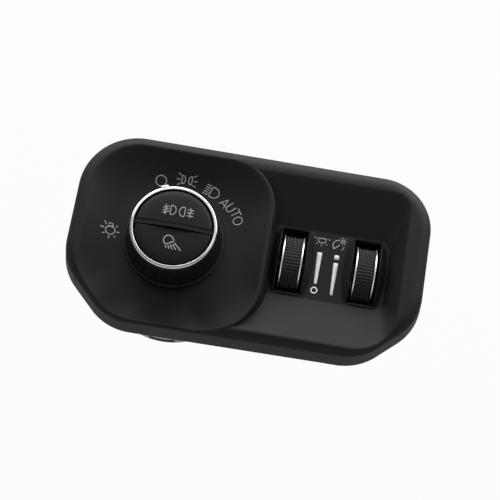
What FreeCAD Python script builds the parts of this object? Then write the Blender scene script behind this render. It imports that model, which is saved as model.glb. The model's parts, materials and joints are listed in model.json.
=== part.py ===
import FreeCAD, Part
import math
import os
import re
import Sketcher

# Headlight switch for a dashboard: a moulded bezel with a dished well for the lamp knob on the
# left and a flat-bottomed well with two thumbwheels on the right.
# Frame: +X to the right of the face, +Y into the dashboard, +Z up. The origin is the centre of
# the bezel's rear rim, which seats on the dashboard at Y = 0. Millimetres.

doc = FreeCAD.newDocument("headlight_switch")
sheet = doc.addObject("Spreadsheet::Sheet", "sizes")

SIZES = {
    # bezel outside
    "bezel_width": 164.5,
    "bezel_height": 91.1,
    "rim_depth": 16.0,
    "rim_draft": 1.4,
    "rim_round": 4.2,
    "wall": 2.4,
    "top_left_radius": 28.0,
    "top_right_radius": 25.0,
    "left_cut_width": 25.0,
    "left_cut_height": 24.5,
    "right_cut_width": 24.4,
    "right_cut_height": 23.6,
    "cut_radius": 26.0,
    "bottom_rise": 1.4,
    # dished well of the knob
    "knob_from_left": 48.5,
    "knob_z": -1.85,
    "bowl_half": 41.3,
    "bowl_cut": 19.7,
    "bowl_top_radius": 22.0,
    "bowl_low_radius": 25.0,
    "bowl_cut_radius": 20.0,
    "bowl_depth": 7.8,
    "bowl_floor_gap": 3.83,
    "knob_hole_gap": 1.0,
    "ridge_width": 1.4,
    "ridge_foot": 4.1,
    # flat-bottomed well of the thumbwheels
    "well_depth": 10.0,
    "well_top_rim": 8.55,
    "well_low_rim": 5.85,
    "well_right_rim": 11.35,
    "well_top_corner": 9.0,
    "well_low_corner": 19.0,
    "floor_above": 1.15,
    "floor_below": 1.65,
    "floor_beside": 4.3,
    "floor_corner": 5.0,
    # thumbwheels
    "wheel_from_right": 28.15,
    "wheel_pitch": 33.6,
    "wheel_z": -0.65,
    "wheel_axis_depth": 0.4,
    "wheel_radius": 13.4,
    "wheel_width": 9.4,
    "rim_band": 1.1,
    "band_height": 3.0,
    "band_edge": 0.3,
    "tread_depth": 1.5,
    "tooth_height": 0.55,
    "tooth_sunk": 0.2,
    "tread_teeth": 54,
    "tread_columns": 5,
    "axle_radius": 1.5,
    "running_gap": 0.05,
    "slot_side_gap": 1.2,
    "slot_end_gap": 1.8,
    "cheek_width": 3.2,
    "cheek_height": 5.2,
    "cheek_lap": 0.5,
    # knob
    "core_radius": 17.4,
    "core_wall": 1.3,
    "core_lip": 0.5,
    "ring_proud": 12.0,
    "ring_gap": 0.6,
    "ring_band": 1.35,
    "ring_height": 2.2,
    "ring_edge": 0.5,
    "skirt_wall": 3.27,
    "skirt_height": 18.0,
    "skirt_edge": 0.4,
    "flute_start": 3.8,
    "flute_end": 16.8,
    "flute_count": 88,
    "flute_depth": 0.5,
    "flute_lap": 0.3,
    "pointer_angle": 21.5,
    "pointer_width": 3.7,
    "pointer_reach": 1.9,
    "pointer_thick": 2.0,
    "pointer_corner": 0.5,
    "detent_angle": 25.0,
    "sleeve_wall": 2.0,
    "sleeve_front": 10.0,
    "sleeve_rear": 16.0,
    "flange_reach": 4.6,
    "flange_front": 0.4,
    "flange_thick": 3.0,
    "notch_radius": 1.2,
    "lug_reach": 3.0,
    "wiper_reach": 6.0,
    "wiper_width": 2.0,
    "wiper_sheet": 0.5,
    "wiper_gap": 0.3,
    # press buttons
    "button_edge": 2.2,
    "button_dome": 2.0,
    "button_travel": 1.5,
    "bar_width": 1.6,
    "bar_gap": 0.35,
    "guide_gap": 0.25,
    "guide_wall": 1.05,
    "guide_length": 9.0,
    "stem_radius": 2.0,
    "stem_offset": 8.0,
    "switch_side": 7.0,
    "switch_height": 4.0,
    "switch_floor": 0.4,
    "plunger_radius": 1.3,
    "plunger_gap": 0.6,
    "plunger_length": 3.3,
    "pipe_radius": 1.5,
    "pipe_x": 9.0,
    "pipe_z": 7.0,
    "pipe_front": 8.0,
    # round rear housing
    "spring_room": 5.3,
    "can_wall": 2.2,
    "can_front": -2.0,
    "can_rear": 40.0,
    "can_edge": 0.9,
    "board_front": 22.0,
    "board_thick": 1.6,
    "ledge_width": 2.4,
    "ledge_thick": 2.0,
    "window_width": 12.4,
    "window_depth": 4.0,
    "window_edge": 1.5,
    "ear_reach": 4.8,
    "ear_thick": 2.6,
    "ear_wall": 0.4,
    "boss_radius": 2.9,
    "screw_radius": 1.3,
    "screw_depth": 2.8,
    "screw_gap": 0.2,
    "screw_head": 1.8,
    # detent spring
    "spring_half": 14.0,
    "spring_shoulder": 9.0,
    "spring_sheet": 0.4,
    "spring_lift": 3.4,
    "spring_gap": 0.15,
    "post_width": 3.0,
    "post_height": 4.0,
    # rear cover and connector
    "cover_thick": 2.0,
    "cover_wall": 1.8,
    "cover_rim": 8.0,
    "cover_gap": 0.15,
    "cover_sunk": 0.4,
    "latch_gap": 0.4,
    "plug_width": 24.0,
    "plug_height": 12.0,
    "plug_wall": 1.6,
    "plug_depth": 12.0,
    "plug_proud": 6.0,
    "plug_x": -8.0,
    "key_width": 1.5,
    "key_height": 1.2,
    "lock_width": 5.0,
    "header_gap": 0.5,
    "terminal_pitch": 3.4,
    "terminal_side": 0.8,
    "terminal_sunk": 3.0,
    "chip_side": 10.0,
    "chip_height": 1.6,
    "capacitor_radius": 3.2,
    "capacitor_height": 8.0,
    # cradle of the thumbwheels
    "cradle_wall": 1.6,
    "cradle_gap": 1.5,
    "cradle_side": 2.6,
    "cradle_round": 1.4,
    "pot_thick": 7.0,
    "pot_side": 9.0,
    "pot_wall": 1.1,
    "shaft_gap": 1.0,
    "guide_thick": 1.2,
    "guide_half_width": 9.0,
    "guide_half_height": 12.0,
    "lamp_height": 0.8,
    "lamp_side": 2.0,
    # dashboard clips
    "clip_width": 8.0,
    "clip_reach": 11.0,
    "clip_sheet": 0.5,
    "clip_bulge": 2.4,
    "clip_start": 1.0,
    "clip_crest": 5.0,
    "tower_thick": 3.0,
    "tower_side": 0.8,
    "tower_top_gap": 3.6,
    "tower_low_gap": 4.2,
    "tower_left": 28.25,
    "tower_middle": 90.25,
    "tower_right": 24.25,
    "tower_low_right": 36.25,
}
# Sizes that follow from those: what is inside, outside or beside a piece, by a named wall or gap
FORMULAS = {
    "knob_x": "knob_from_left - bezel_width / 2",
    "right_wheel_x": "bezel_width / 2 - wheel_from_right",
    "left_wheel_x": "right_wheel_x - wheel_pitch",
    "slot_width": "wheel_width + 2 * slot_side_gap",
    "slot_length": "2 * (wheel_radius + slot_end_gap)",
    "well_right": "bezel_width / 2 - well_right_rim",
    "well_top": "bezel_height / 2 - well_top_rim",
    "well_bottom": "well_low_rim - bezel_height / 2",
    "floor_right": "right_wheel_x + slot_width / 2 + floor_beside",
    "floor_top": "wheel_z + slot_length / 2 + floor_above",
    "floor_bottom": "wheel_z - slot_length / 2 - floor_below",
    "button_radius": "core_radius",
    "core_bore": "core_radius - core_wall",
    "ring_inner": "core_radius + ring_gap",
    "ring_outer": "ring_inner + ring_band",
    "sleeve_radius": "core_radius + sleeve_wall",
    "skirt_radius": "sleeve_radius + skirt_wall",
    "knob_hole_radius": "sleeve_radius + knob_hole_gap",
    "bowl_floor_radius": "skirt_radius + bowl_floor_gap",
    "flange_radius": "sleeve_radius + flange_reach",
    "can_inner": "flange_radius + lug_reach + spring_room",
    "can_radius": "can_inner + can_wall",
    "ear_radius": "can_radius + ear_reach",
    "ring_front": "0 - rim_depth - ring_proud",
    "bowl_front": "bowl_depth - rim_depth",
    "floor_front": "well_depth - rim_depth",
    "board_rear": "board_front + board_thick",
    "dome_radius": "(button_radius ^ 2 + button_dome ^ 2) / (2 * button_dome)",
    "spring_z": "flange_radius + spring_lift",
    "plunger_front": "board_front - switch_height - button_travel - plunger_gap",
    "cradle_left": "left_wheel_x - slot_width / 2 - cradle_side",
    "cradle_right": "right_wheel_x + slot_width / 2 + cradle_side",
    "cradle_half": "wheel_radius + cradle_gap",
    "cradle_front": "floor_front + wall",
    "cradle_rear": "wheel_axis_depth + cradle_half",
    "cradle_middle": "(left_wheel_x + right_wheel_x) / 2",
}
for row, (name, number) in enumerate(SIZES.items(), start=1):
    sheet.set("A%d" % row, name)
    sheet.set("B%d" % row, str(number))
    sheet.setAlias("B%d" % row, name)
doc.recompute()

V = FreeCAD.Vector
Y_UP = FreeCAD.Rotation(V(1, 0, 0), -90)
X_UP = FreeCAD.Rotation(V(0, 1, 0), 90)
# Angles round the knob, in degrees from +X: the screws' bosses and the snap windows
BOSS_ANGLES = (45, 135, 225, 315)
WINDOW_ANGLES = (270, 30, 150)
# Turning positions of the knob, and the slack in degrees that its stops leave
POSITIONS = 4
STOP_SLACK = 0.6
# Shares of a flute's pitch where the land ends and the groove is deepest
LAND = 0.45
GROOVE = 0.72
# How steeply the dish falls at its crest: the power of the share that is left to the floor
BOWL_CURVE = 1.8
TERMINAL_COLUMNS = 6
NODES = {}


def formula(text):
    """a sheet expression, from a formula written with the names of the sizes"""
    def cell(word):
        name = word.group()
        if name in FORMULAS:
            return "(" + formula(FORMULAS[name]) + ")"
        return "sizes." + name if name in SIZES else name
    return re.sub(r"[a-z_]+", cell, text)


def size(text):
    """the number that a formula of the sizes gives now"""
    return float(sheet.evalExpression(formula(text)))


def bind(item, formulas):
    """ties properties to formulas"""
    for name, text in formulas.items():
        item.setExpression(name, formula(text))
    return item


def place(item, x, y, z):
    """ties the base point of a placement to formulas"""
    return bind(item, {"Placement.Base.x": x, "Placement.Base.y": y, "Placement.Base.z": z})


def box(name, corner, extent):
    """a box from its lowest corner and its three sides, all formulas"""
    item = doc.addObject("Part::Box", name)
    bind(item, dict(zip(("Length", "Width", "Height"), extent)))
    return place(item, *corner)


def rod(name, turn, start, radius, length):
    """a cylinder along +Y or +X"""
    item = doc.addObject("Part::Cylinder", name)
    item.Placement = FreeCAD.Placement(V(), turn)
    bind(item, {"Radius": radius, "Height": length})
    return place(item, *start)


def fuse(name, items):
    item = doc.addObject("Part::MultiFuse", name)
    item.Shapes = items
    return item


def cut(name, base, tools):
    item = doc.addObject("Part::Cut", name)
    item.Base = base
    item.Tool = tools[0] if len(tools) == 1 else fuse(name + "_tools", tools)
    return item


def common(name, items):
    item = doc.addObject("Part::MultiCommon", name)
    item.Shapes = items
    return item


def group(name, items):
    """several separate solids as one piece"""
    item = doc.addObject("Part::Compound", name)
    item.Links = items
    return item


def feature(name, shape):
    item = doc.addObject("Part::Feature", name)
    item.Shape = shape
    return item


def node(name, item):
    """names the finished sub-part"""
    item.Label = name
    NODES[name] = item
    return item


def sketch_of(body, name, plane, points):
    """a closed outline of straight sides in a body, each corner tied to two formulas"""
    sketch = body.newObject("Sketcher::SketchObject", name)
    role = [f for f in body.Origin.OriginFeatures if f.Role == plane][0]
    sketch.AttachmentSupport = [(role, "")]
    sketch.MapMode = "FlatFace"
    # the sides start on a circle, and the formulas then pull each corner to its place
    count = len(points)
    start_radius = size("bezel_height / 2")
    turns = [2 * math.pi * i / count for i in range(count)]
    ring = [V(start_radius * math.cos(turn), start_radius * math.sin(turn), 0) for turn in turns]
    for i in range(count):
        sketch.addGeometry(Part.LineSegment(ring[i], ring[(i + 1) % count]), False)
    for i in range(count):
        sketch.addConstraint(Sketcher.Constraint("Coincident", i, 2, (i + 1) % count, 1))
    for i, (across, along) in enumerate(points):
        for kind, text, start in (("DistanceX", across, ring[i].x), ("DistanceY", along, ring[i].y)):
            number = sketch.addConstraint(Sketcher.Constraint(kind, -1, 1, i, 1, start))
            sketch.setExpression("Constraints[%d]" % number, formula(text))
    return sketch


def turned(name, axis, points, centre):
    """a body turned about Y (points are radius, depth) or about X (points are x, radius)"""
    body = doc.addObject("PartDesign::Body", name)
    sketch = sketch_of(body, name + "_profile", "XY_Plane", points)
    turn = body.newObject("PartDesign::Revolution", name + "_turn")
    turn.Profile = sketch
    turn.ReferenceAxis = (sketch, ["V_Axis" if axis == "Y" else "H_Axis"])
    turn.Angle = 360
    return place(body, *centre)


def padded(name, points, front, thick):
    """a plate: an outline in X and Z, from a front depth, with a thickness to the rear"""
    body = doc.addObject("PartDesign::Body", name)
    sketch = sketch_of(body, name + "_outline", "XZ_Plane", points)
    pad = body.newObject("PartDesign::Pad", name + "_pad")
    pad.Profile = sketch
    pad.Reversed = True
    bind(pad, {"Length": thick})
    return place(body, "0", front, "0")


def rounded_wire(corners, radii, depth):
    """a closed wire at one depth: straight sides, with an arc of its own radius at each corner"""
    arcs = []
    count = len(corners)
    for i in range(count):
        corner = V(corners[i][0], depth, corners[i][1])
        before = V(corners[i - 1][0], depth, corners[i - 1][1]) - corner
        after = V(corners[(i + 1) % count][0], depth, corners[(i + 1) % count][1]) - corner
        half = before.getAngle(after) / 2
        before.normalize()
        after.normalize()
        inward = before + after
        inward.normalize()
        reach = radii[i] / math.tan(half)
        middle = corner + inward * (radii[i] / math.sin(half) - radii[i])
        arcs.append((corner + before * reach, middle, corner + after * reach))
    edges = []
    for i in range(count):
        edges.append(Part.Arc(*arcs[i]).toShape())
        edges.append(Part.LineSegment(arcs[i][2], arcs[(i + 1) % count][0]).toShape())
    return Part.Wire(edges)


def shrunk(corners, distance):
    """the corners of a convex outline whose sides have all moved inwards by a distance"""
    count = len(corners)
    middle_x = sum(c[0] for c in corners) / count
    middle_z = sum(c[1] for c in corners) / count
    lines = []
    for i in range(count):
        (x, z), (next_x, next_z) = corners[i], corners[(i + 1) % count]
        length = math.hypot(next_x - x, next_z - z)
        normal = (-(next_z - z) / length, (next_x - x) / length)
        if (middle_x - x) * normal[0] + (middle_z - z) * normal[1] < 0:
            normal = (-normal[0], -normal[1])
        lines.append((normal, normal[0] * x + normal[1] * z + distance))
    moved = []
    for i in range(count):
        (a, b), e = lines[i - 1]
        (c, d), g = lines[i]
        moved.append(((e * d - b * g) / (a * d - b * c), (a * g - e * c) / (a * d - b * c)))
    return moved


def outline_at(corners, radii, inset, depth):
    """an outline shrunk by an inset, its corner radii with it"""
    return rounded_wire(shrunk(corners, inset), [radius - inset for radius in radii], depth)


def bezel_outline():
    """the corners and corner radii of the bezel's rear rim"""
    half_width = size("bezel_width") / 2
    half_height = size("bezel_height") / 2
    corners = [
        (-half_width, half_height),
        (half_width, half_height),
        (half_width, -half_height + size("right_cut_height")),
        (half_width - size("right_cut_width"), -half_height + size("bottom_rise")),
        (-half_width + size("left_cut_width"), -half_height),
        (-half_width, -half_height + size("left_cut_height")),
    ]
    radii = [size("top_left_radius"), size("top_right_radius")] + [size("cut_radius")] * 4
    return corners, radii


def bowl_outline(share):
    """the dish's outline: share 0 is its crest, a square with one corner cut; 1 is its round floor"""
    floor = size("bowl_floor_radius")
    half = size("bowl_half") * (1 - share) + floor * share
    # the cut of an octagon's side makes a round outline of five equal arcs
    cut_off = size("bowl_cut") * (1 - share) + floor * (2 - math.sqrt(2)) * share
    tight = floor * 0.985
    crest = [size("bowl_top_radius")] * 2 + [size("bowl_low_radius")] + [size("bowl_cut_radius")] * 2
    radii = [radius * (1 - share) + tight * share for radius in crest]
    corners = [(-half, half), (half, half), (half, -half), (cut_off - half, -half), (-half, cut_off - half)]
    return [(x + size("knob_x"), z + size("knob_z")) for x, z in corners], radii


def bowl_loft(grow, shift):
    """the dish as a solid, grown sideways and shifted to the rear"""
    crest = -size("rim_depth")
    deep = size("bowl_depth")
    wires = []
    for share in (0.0, 0.35, 0.7, 1.0):
        fall = 1 - (1 - share) ** BOWL_CURVE
        corners, radii = bowl_outline(share)
        wires.append(outline_at(corners, radii, -grow, crest + shift + fall * deep))
    corners, radii = bowl_outline(0.0)
    mouth = outline_at(corners, radii, -grow, crest + shift)
    lead = Part.Face(mouth).extrude(V(0, -size("rim_depth"), 0))
    return Part.makeLoft(wires, True, False).fuse(lead)


def well_loft(grow, shift):
    """the thumbwheels' well as a solid, grown sideways and shifted to the rear"""
    crest = -size("rim_depth") + shift
    left = size("knob_x") + size("bowl_low_radius")
    tight = size("wall / 2")
    mouth = [(left, size("well_top")), (size("well_right"), size("well_top")),
             (size("well_right"), size("well_bottom")), (left, size("well_bottom"))]
    floor = [(left, size("floor_top")), (size("floor_right"), size("floor_top")),
             (size("floor_right"), size("floor_bottom")), (left, size("floor_bottom"))]
    upper = outline_at(mouth, [tight, size("well_top_corner"), size("well_low_corner"), tight], -grow, crest)
    lower = outline_at(floor, [tight, size("floor_corner"), size("floor_corner"), tight], -grow,
                       crest + size("well_depth"))
    lead = Part.Face(upper).extrude(V(0, -size("rim_depth"), 0))
    return Part.makeLoft([upper, lower], True, True).fuse(lead)


def ridge_loft():
    """the wall between the wells: the dish's outline, wider at its foot"""
    corners, radii = bowl_outline(0.0)
    top = size("ridge_width")
    foot = size("ridge_foot")
    slope = (foot - top) / size("well_depth")
    ends = []
    for depth in (-size("rim_depth") - size("wall"), 0.0):
        grow = top + slope * (depth + size("rim_depth"))
        ends.append(outline_at(corners, radii, -grow, depth))
    return Part.makeLoft(ends, True, True)


def edges_at(shape, depth):
    """the edges that lie flat at one depth"""
    near = 1e-4
    boxes = [(edge, edge.BoundBox) for edge in shape.Edges]
    return [edge for edge, b in boxes if abs(b.YMin - depth) < near and abs(b.YMax - depth) < near]


def rim_block(inset, front, rear, rounding):
    """the outline as a drafted block with a rounded front edge"""
    corners, radii = bezel_outline()
    slope = size("rim_draft") / size("rim_depth")
    ends = [outline_at(corners, radii, inset - slope * depth, depth) for depth in (rear, front)]
    block = Part.makeLoft(ends, True, True)
    return block.makeFillet(rounding, edges_at(block, front))


def cheek(name, wheel_x, side):
    """the raised flank beside a slot: a low arc along the slot, falling away from it"""
    half = size("slot_length / 2")
    high = size("cheek_height")
    floor = size("floor_front")
    radius = (half * half + high * high) / (2 * high)
    near = size(wheel_x) + side * size("slot_width / 2 - cheek_lap")
    far = size(wheel_x) + side * size("slot_width / 2 + cheek_width")
    width = abs(far - near)
    centre = V(near, floor - high + radius, size("wheel_z"))
    disc = Part.makeCone(radius, radius - high, width, centre, V(side, 0, 0))
    corner = V(min(near, far), floor - high, centre.z - half)
    front = Part.makeBox(width, high + size("wall / 2"), 2 * half, corner)
    return feature(name, disc.common(front))


def tower_places():
    """where the dashboard clips stand beside the long walls"""
    left = size("0 - bezel_width / 2")
    right = size("bezel_width / 2")
    top = size("bezel_height / 2 - wall - tower_top_gap")
    low = size("wall + tower_low_gap - bezel_height / 2")
    middle = left + size("tower_middle")
    return [(left + size("tower_left"), top), (middle, top), (right - size("tower_right"), top),
            (middle, low), (right - size("tower_low_right"), low)]


def round_places(radius, angles):
    """places round the knob's axis"""
    return [(size("knob_x") + radius * math.cos(math.radians(angle)),
             size("knob_z") + radius * math.sin(math.radians(angle))) for angle in angles]


def boss_places():
    """the screws of the rear housing"""
    return round_places(size("ear_radius"), BOSS_ANGLES)


def cradle_boss_places():
    """the screws of the thumbwheels' cradle"""
    above = size("wheel_z + cradle_half + cradle_wall + boss_radius")
    below = size("2 * wheel_z") - above
    return [(size(x), z) for z in (above, below) for x in ("left_wheel_x", "right_wheel_x")]


def make_bezel():
    """the moulded bezel: rounded rim, dish, ridge, flat-bottomed well, cheeks, collar, bosses, towers"""
    crest = -size("rim_depth")
    wall = size("wall")
    outer = rim_block(0.0, crest, 0.0, size("rim_round"))
    inner = rim_block(wall, crest + wall, wall, max(size("rim_round") - wall, wall / 4))
    corners, radii = bowl_outline(0.0)
    under_bowl = Part.Face(outline_at(corners, radii, wall / 2, crest)).extrude(V(0, size("rim_depth"), 0))
    hollow = inner.cut([bowl_loft(wall, wall), well_loft(wall, wall).cut(under_bowl)])
    solids = [feature("bezel_shell", outer.cut(hollow))]
    back = "(wall - rim_depth)"
    behind = "can_front - " + back
    collar = rod("collar_outside", Y_UP, ("knob_x", back, "knob_z"), "can_radius", behind)
    collar_bore = rod("collar_inside", Y_UP, ("knob_x", back, "knob_z"), "can_inner", behind)
    solids.append(cut("collar", collar, [collar_bore]))
    holes = []
    for i, (x, z) in enumerate(boss_places() + cradle_boss_places()):
        solids.append(rod("boss_%d" % i, Y_UP, (str(x), back, str(z)), "boss_radius", behind))
        foot = (str(x), "can_front - screw_depth", str(z))
        holes.append(rod("boss_hole_%d" % i, Y_UP, foot, "screw_radius", "screw_depth"))
    for i, (x, z) in enumerate(tower_places()):
        corner = ("%f - clip_width / 2 - tower_side" % x, back, "%f - tower_thick / 2" % z)
        extent = ("clip_width + 2 * tower_side", "clip_reach - " + back, "tower_thick")
        solids.append(box("tower_%d" % i, corner, extent))
    rough = fuse("bezel_rough", solids)
    dish = feature("dish_cutter", bowl_loft(0.0, 0.0))
    well = feature("well_cutter", well_loft(0.0, 0.0).cut(ridge_loft()))
    front = ("knob_x", "0 - rim_depth", "knob_z")
    knob_hole = rod("knob_hole", Y_UP, front, "knob_hole_radius", "rim_depth")
    hollowed = cut("bezel_hollowed", rough, [dish, well, knob_hole] + holes)
    cheeks, slots = [], []
    for which in ("left_wheel_x", "right_wheel_x"):
        cheeks += [cheek("near_cheek_" + which, which, -1), cheek("far_cheek_" + which, which, 1)]
        corner = (which + " - slot_width / 2", "0 - rim_depth", "wheel_z - slot_length / 2")
        slots.append(box("slot_" + which, corner, ("slot_width", "rim_depth", "slot_length")))
    raised = fuse("bezel_raised", [hollowed] + cheeks)
    node("bezel", cut("bezel_moulding", raised, slots))


def star_wire(crest_radius, root_radius, depth):
    """the fluted outline: each flute is a flat land and a V groove"""
    count = int(size("flute_count"))
    step = 2 * math.pi / count
    centre_x = size("knob_x")
    centre_z = size("knob_z")
    points = []
    for i in range(count):
        for share, radius in ((0.0, crest_radius), (LAND, crest_radius), (GROOVE, root_radius)):
            turn = (i + share) * step
            points.append(V(centre_x + radius * math.cos(turn), depth, centre_z + radius * math.sin(turn)))
    return Part.makePolygon(points + points[:1])


def skirt_radius_at(depth):
    """formula of the skirt's outside radius at a depth behind the ring's face"""
    slope = "(skirt_radius - ring_outer) / (skirt_height - ring_height)"
    return "(ring_outer + %s * (%s - ring_height))" % (slope, depth)


def make_skirt():
    """the fluted skirt: a cone with a smooth lip at each end and V grooves between"""
    centre = ("knob_x", "ring_front", "knob_z")
    start = skirt_radius_at("flute_start")
    end = skirt_radius_at("flute_end")
    plain = turned("skirt_plain", "Y", [
        ("ring_inner", "ring_height"), ("ring_outer", "ring_height"), (start, "flute_start"),
        (start + " - flute_depth", "flute_start"), (end + " - flute_depth", "flute_end"),
        (end, "flute_end"), ("skirt_radius", "skirt_height - skirt_edge"),
        ("skirt_radius - skirt_edge", "skirt_height"), ("sleeve_radius", "skirt_height"),
        ("sleeve_radius", "sleeve_front"), ("ring_inner", "sleeve_front")], centre)
    wires = []
    for depth in ("flute_start", "flute_end"):
        radius = size(skirt_radius_at(depth))
        wires.append(star_wire(radius, radius - size("flute_depth"), size("ring_front + " + depth)))
    flutes = feature("flute_block", Part.makeLoft(wires, True, True))
    core = rod("flute_core", Y_UP, centre, "ring_outer + flute_lap - flute_depth / 2", "skirt_height")
    node("knob_skirt", fuse("skirt", [plain, cut("flute_ring", flutes, [core])]))


def make_ring_and_pointer():
    """the bright ring on the skirt, and the pointer tab that stands on its rim"""
    centre = ("knob_x", "ring_front", "knob_z")
    node("knob_ring", turned("ring", "Y", [
        ("ring_inner", "ring_edge"), ("ring_inner + 0.4 * ring_edge", "0.2 * ring_edge"),
        ("ring_inner + ring_edge", "0"), ("ring_outer - ring_edge", "0"),
        ("ring_outer - 0.3 * ring_edge", "0.4 * ring_edge"), ("ring_outer", "1.2 * ring_edge"),
        ("ring_outer", "ring_height"), ("ring_inner", "ring_height")], centre))

    reach = "ring_outer + pointer_reach"
    pointer = padded("pointer", [
        ("0 - pointer_width / 2", "ring_outer - 0.1"), ("pointer_width / 2", "ring_outer - 0.1"),
        ("pointer_width / 2", reach + " - pointer_corner"), ("pointer_width / 2 - pointer_corner", reach),
        ("pointer_corner - pointer_width / 2", reach),
        ("0 - pointer_width / 2", reach + " - pointer_corner")],
        "ring_front", "pointer_thick")
    turn_about_knob(pointer, -size("pointer_angle"), "ring_front")
    seat = rod("pointer_seat", Y_UP, centre, "ring_outer", "ring_height")
    node("knob_pointer", cut("pointer_tab", pointer, [seat]))


def turn_about_knob(item, angle, front):
    """turns a plate clockwise about the knob's axis, as seen from the front"""
    item.Placement = FreeCAD.Placement(V(), FreeCAD.Rotation(V(0, 1, 0), angle))
    return place(item, "knob_x", front, "knob_z")


def make_rotor():
    """the hidden rotor: a sleeve with a notched detent flange and a stop lug, and the wipers behind"""
    bore = "(core_radius + running_gap)"
    flange_rear = "flange_front + flange_thick"
    front = "ring_front + sleeve_front"
    rotor = turned("rotor_blank", "Y", [
        (bore, front), ("sleeve_radius", front), ("sleeve_radius", "flange_front"),
        ("flange_radius", "flange_front"), ("flange_radius", flange_rear), ("sleeve_radius", flange_rear),
        ("sleeve_radius", "sleeve_rear"), (bore, "sleeve_rear")], ("knob_x", "0", "knob_z"))
    lug = padded("stop_lug", [
        ("0 - lug_reach", "0 - flange_radius - lug_reach"), ("lug_reach", "0 - flange_radius - lug_reach"),
        ("lug_reach", "lug_reach / 3 - flange_radius"), ("0 - lug_reach", "lug_reach / 3 - flange_radius")],
        "0", "flange_thick")
    turn_about_knob(lug, -size("detent_angle") * (POSITIONS - 1) / 2, "flange_front")
    notches = []
    for i in range(POSITIONS):
        angle = "(90 + %d * detent_angle)" % i
        notches.append(rod("notch_%d" % i, Y_UP, (
            "knob_x + flange_radius * cos(%s)" % angle, "flange_front",
            "knob_z + flange_radius * sin(%s)" % angle), "notch_radius", "flange_thick"))
    node("knob_rotor", cut("rotor", fuse("rotor_lugged", [rotor, lug]), notches))

    outer = "sleeve_radius + wiper_reach"
    inner = "core_radius + ring_gap"
    disc = turned("wiper_disc", "Y", [
        (inner, "sleeve_rear"), (outer, "sleeve_rear"), (outer, "sleeve_rear + wiper_sheet"),
        (inner, "sleeve_rear + wiper_sheet")], ("knob_x", "0", "knob_z"))
    fingers = []
    for i, angle in enumerate((0, 120, 240)):
        finger = padded("finger_%d" % i, [
            (outer + " - 2 * wiper_width", "0 - wiper_width / 2"), (outer, "0 - wiper_width / 2"),
            (outer, "wiper_width / 2"), (outer + " - 2 * wiper_width", "wiper_width / 2")],
            "0", "board_front - sleeve_rear - wiper_gap")
        fingers.append(turn_about_knob(finger, angle, "sleeve_rear"))
    node("wiper_contacts", fuse("wipers", [disc] + fingers))


def dome_ball(name):
    """the ball that gives the buttons and the bar their shallow dome"""
    item = doc.addObject("Part::Sphere", name)
    bind(item, {"Radius": "dome_radius"})
    return place(item, "knob_x", "ring_front - button_dome + dome_radius", "knob_z")


def make_core():
    """the still core inside the knob, with the bar between the two press buttons"""
    front = "ring_front + button_edge + button_travel + core_lip"
    foot = "sleeve_rear + button_travel"
    foot_radius = "sleeve_radius + core_wall - 0.1"
    tube = turned("core_tube", "Y", [
        ("core_bore", front), ("core_radius", front), ("core_radius", foot), (foot_radius, foot),
        (foot_radius, "board_front"), ("core_bore", "board_front")], ("knob_x", "0", "knob_z"))
    top = "ring_front - button_dome"
    bar = box("core_bar", ("knob_x - button_radius", top, "knob_z - bar_width / 2"),
              ("2 * button_radius", "board_front - 2 * switch_height - (%s)" % top, "bar_width"))
    inside = rod("bar_limit", Y_UP, ("knob_x", top, "knob_z"), "core_bore + 0.2", "board_front - ring_front")
    face = rod("bar_face", Y_UP, ("knob_x", top, "knob_z"), "button_radius", "button_dome + button_edge")
    barred = fuse("core_barred", [tube, common("bar_fitted", [bar, fuse("bar_room", [inside, face])])])
    node("knob_core", common("core", [barred, dome_ball("bar_dome")]))


def make_button(which, sign):
    """one press button, half a domed disc with a guide and a stem, and the switch that it presses"""
    low = "(bar_width / 2 + bar_gap)"
    side = "(button_radius + 1)"
    bottom = "knob_z + " + low if sign > 0 else "knob_z - " + side
    half = box(which + "_half", ("knob_x - " + side, "ring_front - button_dome - 1", bottom),
               ("2 * " + side, "board_front - ring_front", "%s - %s" % (side, low)))
    cap = rod(which + "_cap", Y_UP, ("knob_x", "ring_front - button_dome", "knob_z"), "button_radius",
              "button_dome + button_edge")
    face = common(which + "_face", [cap, dome_ball(which + "_dome"), half])
    rear = "ring_front + button_edge"
    outer = "core_bore - guide_gap"
    guide = turned(which + "_guide", "Y", [
        (outer + " - guide_wall", rear), (outer, rear), (outer, rear + " + guide_length"),
        (outer + " - guide_wall", rear + " + guide_length")], ("knob_x", "0", "knob_z"))
    skirt = common(which + "_skirt", [guide, half])
    stem_z = "knob_z %s stem_offset" % ("+" if sign > 0 else "-")
    stem = rod(which + "_stem", Y_UP, ("knob_x", rear, stem_z), "stem_radius", "plunger_front - (%s)" % rear)
    node(which + "_button", fuse(which + "_key", [face, skirt, stem]))
    pin_end = ("knob_x", "plunger_front", stem_z)
    node(which + "_plunger", rod(which + "_pin", Y_UP, pin_end, "plunger_radius", "plunger_length"))
    corner = ("knob_x - switch_side / 2", "board_front - switch_height", stem_z + " - switch_side / 2")
    case = box(which + "_case", corner, ("switch_side", "switch_height", "switch_side"))
    well = rod(which + "_case_hole", Y_UP, ("knob_x", "board_front - switch_height", stem_z),
               "plunger_radius + running_gap", "switch_height - switch_floor")
    node(which + "_switch", cut(which + "_switch_case", case, [well]))


def windows(name, width, depth, inner_radius, front, tall):
    """three boxes round the housing, for the snap windows or the latches in them"""
    boxes = []
    for i, angle in enumerate(WINDOW_ANGLES):
        item = box("%s_%d" % (name, i), ("0", "0", "0"), (width, depth, tall))
        turn = FreeCAD.Rotation(V(0, 1, 0), 90 - angle)
        base = turn.multVec(V(-size(width) / 2, 0, size(inner_radius)))
        item.Placement = FreeCAD.Placement(V(), turn)
        boxes.append(place(item, "knob_x + %f" % base.x, front, "knob_z + %f" % base.z))
    return boxes


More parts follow.
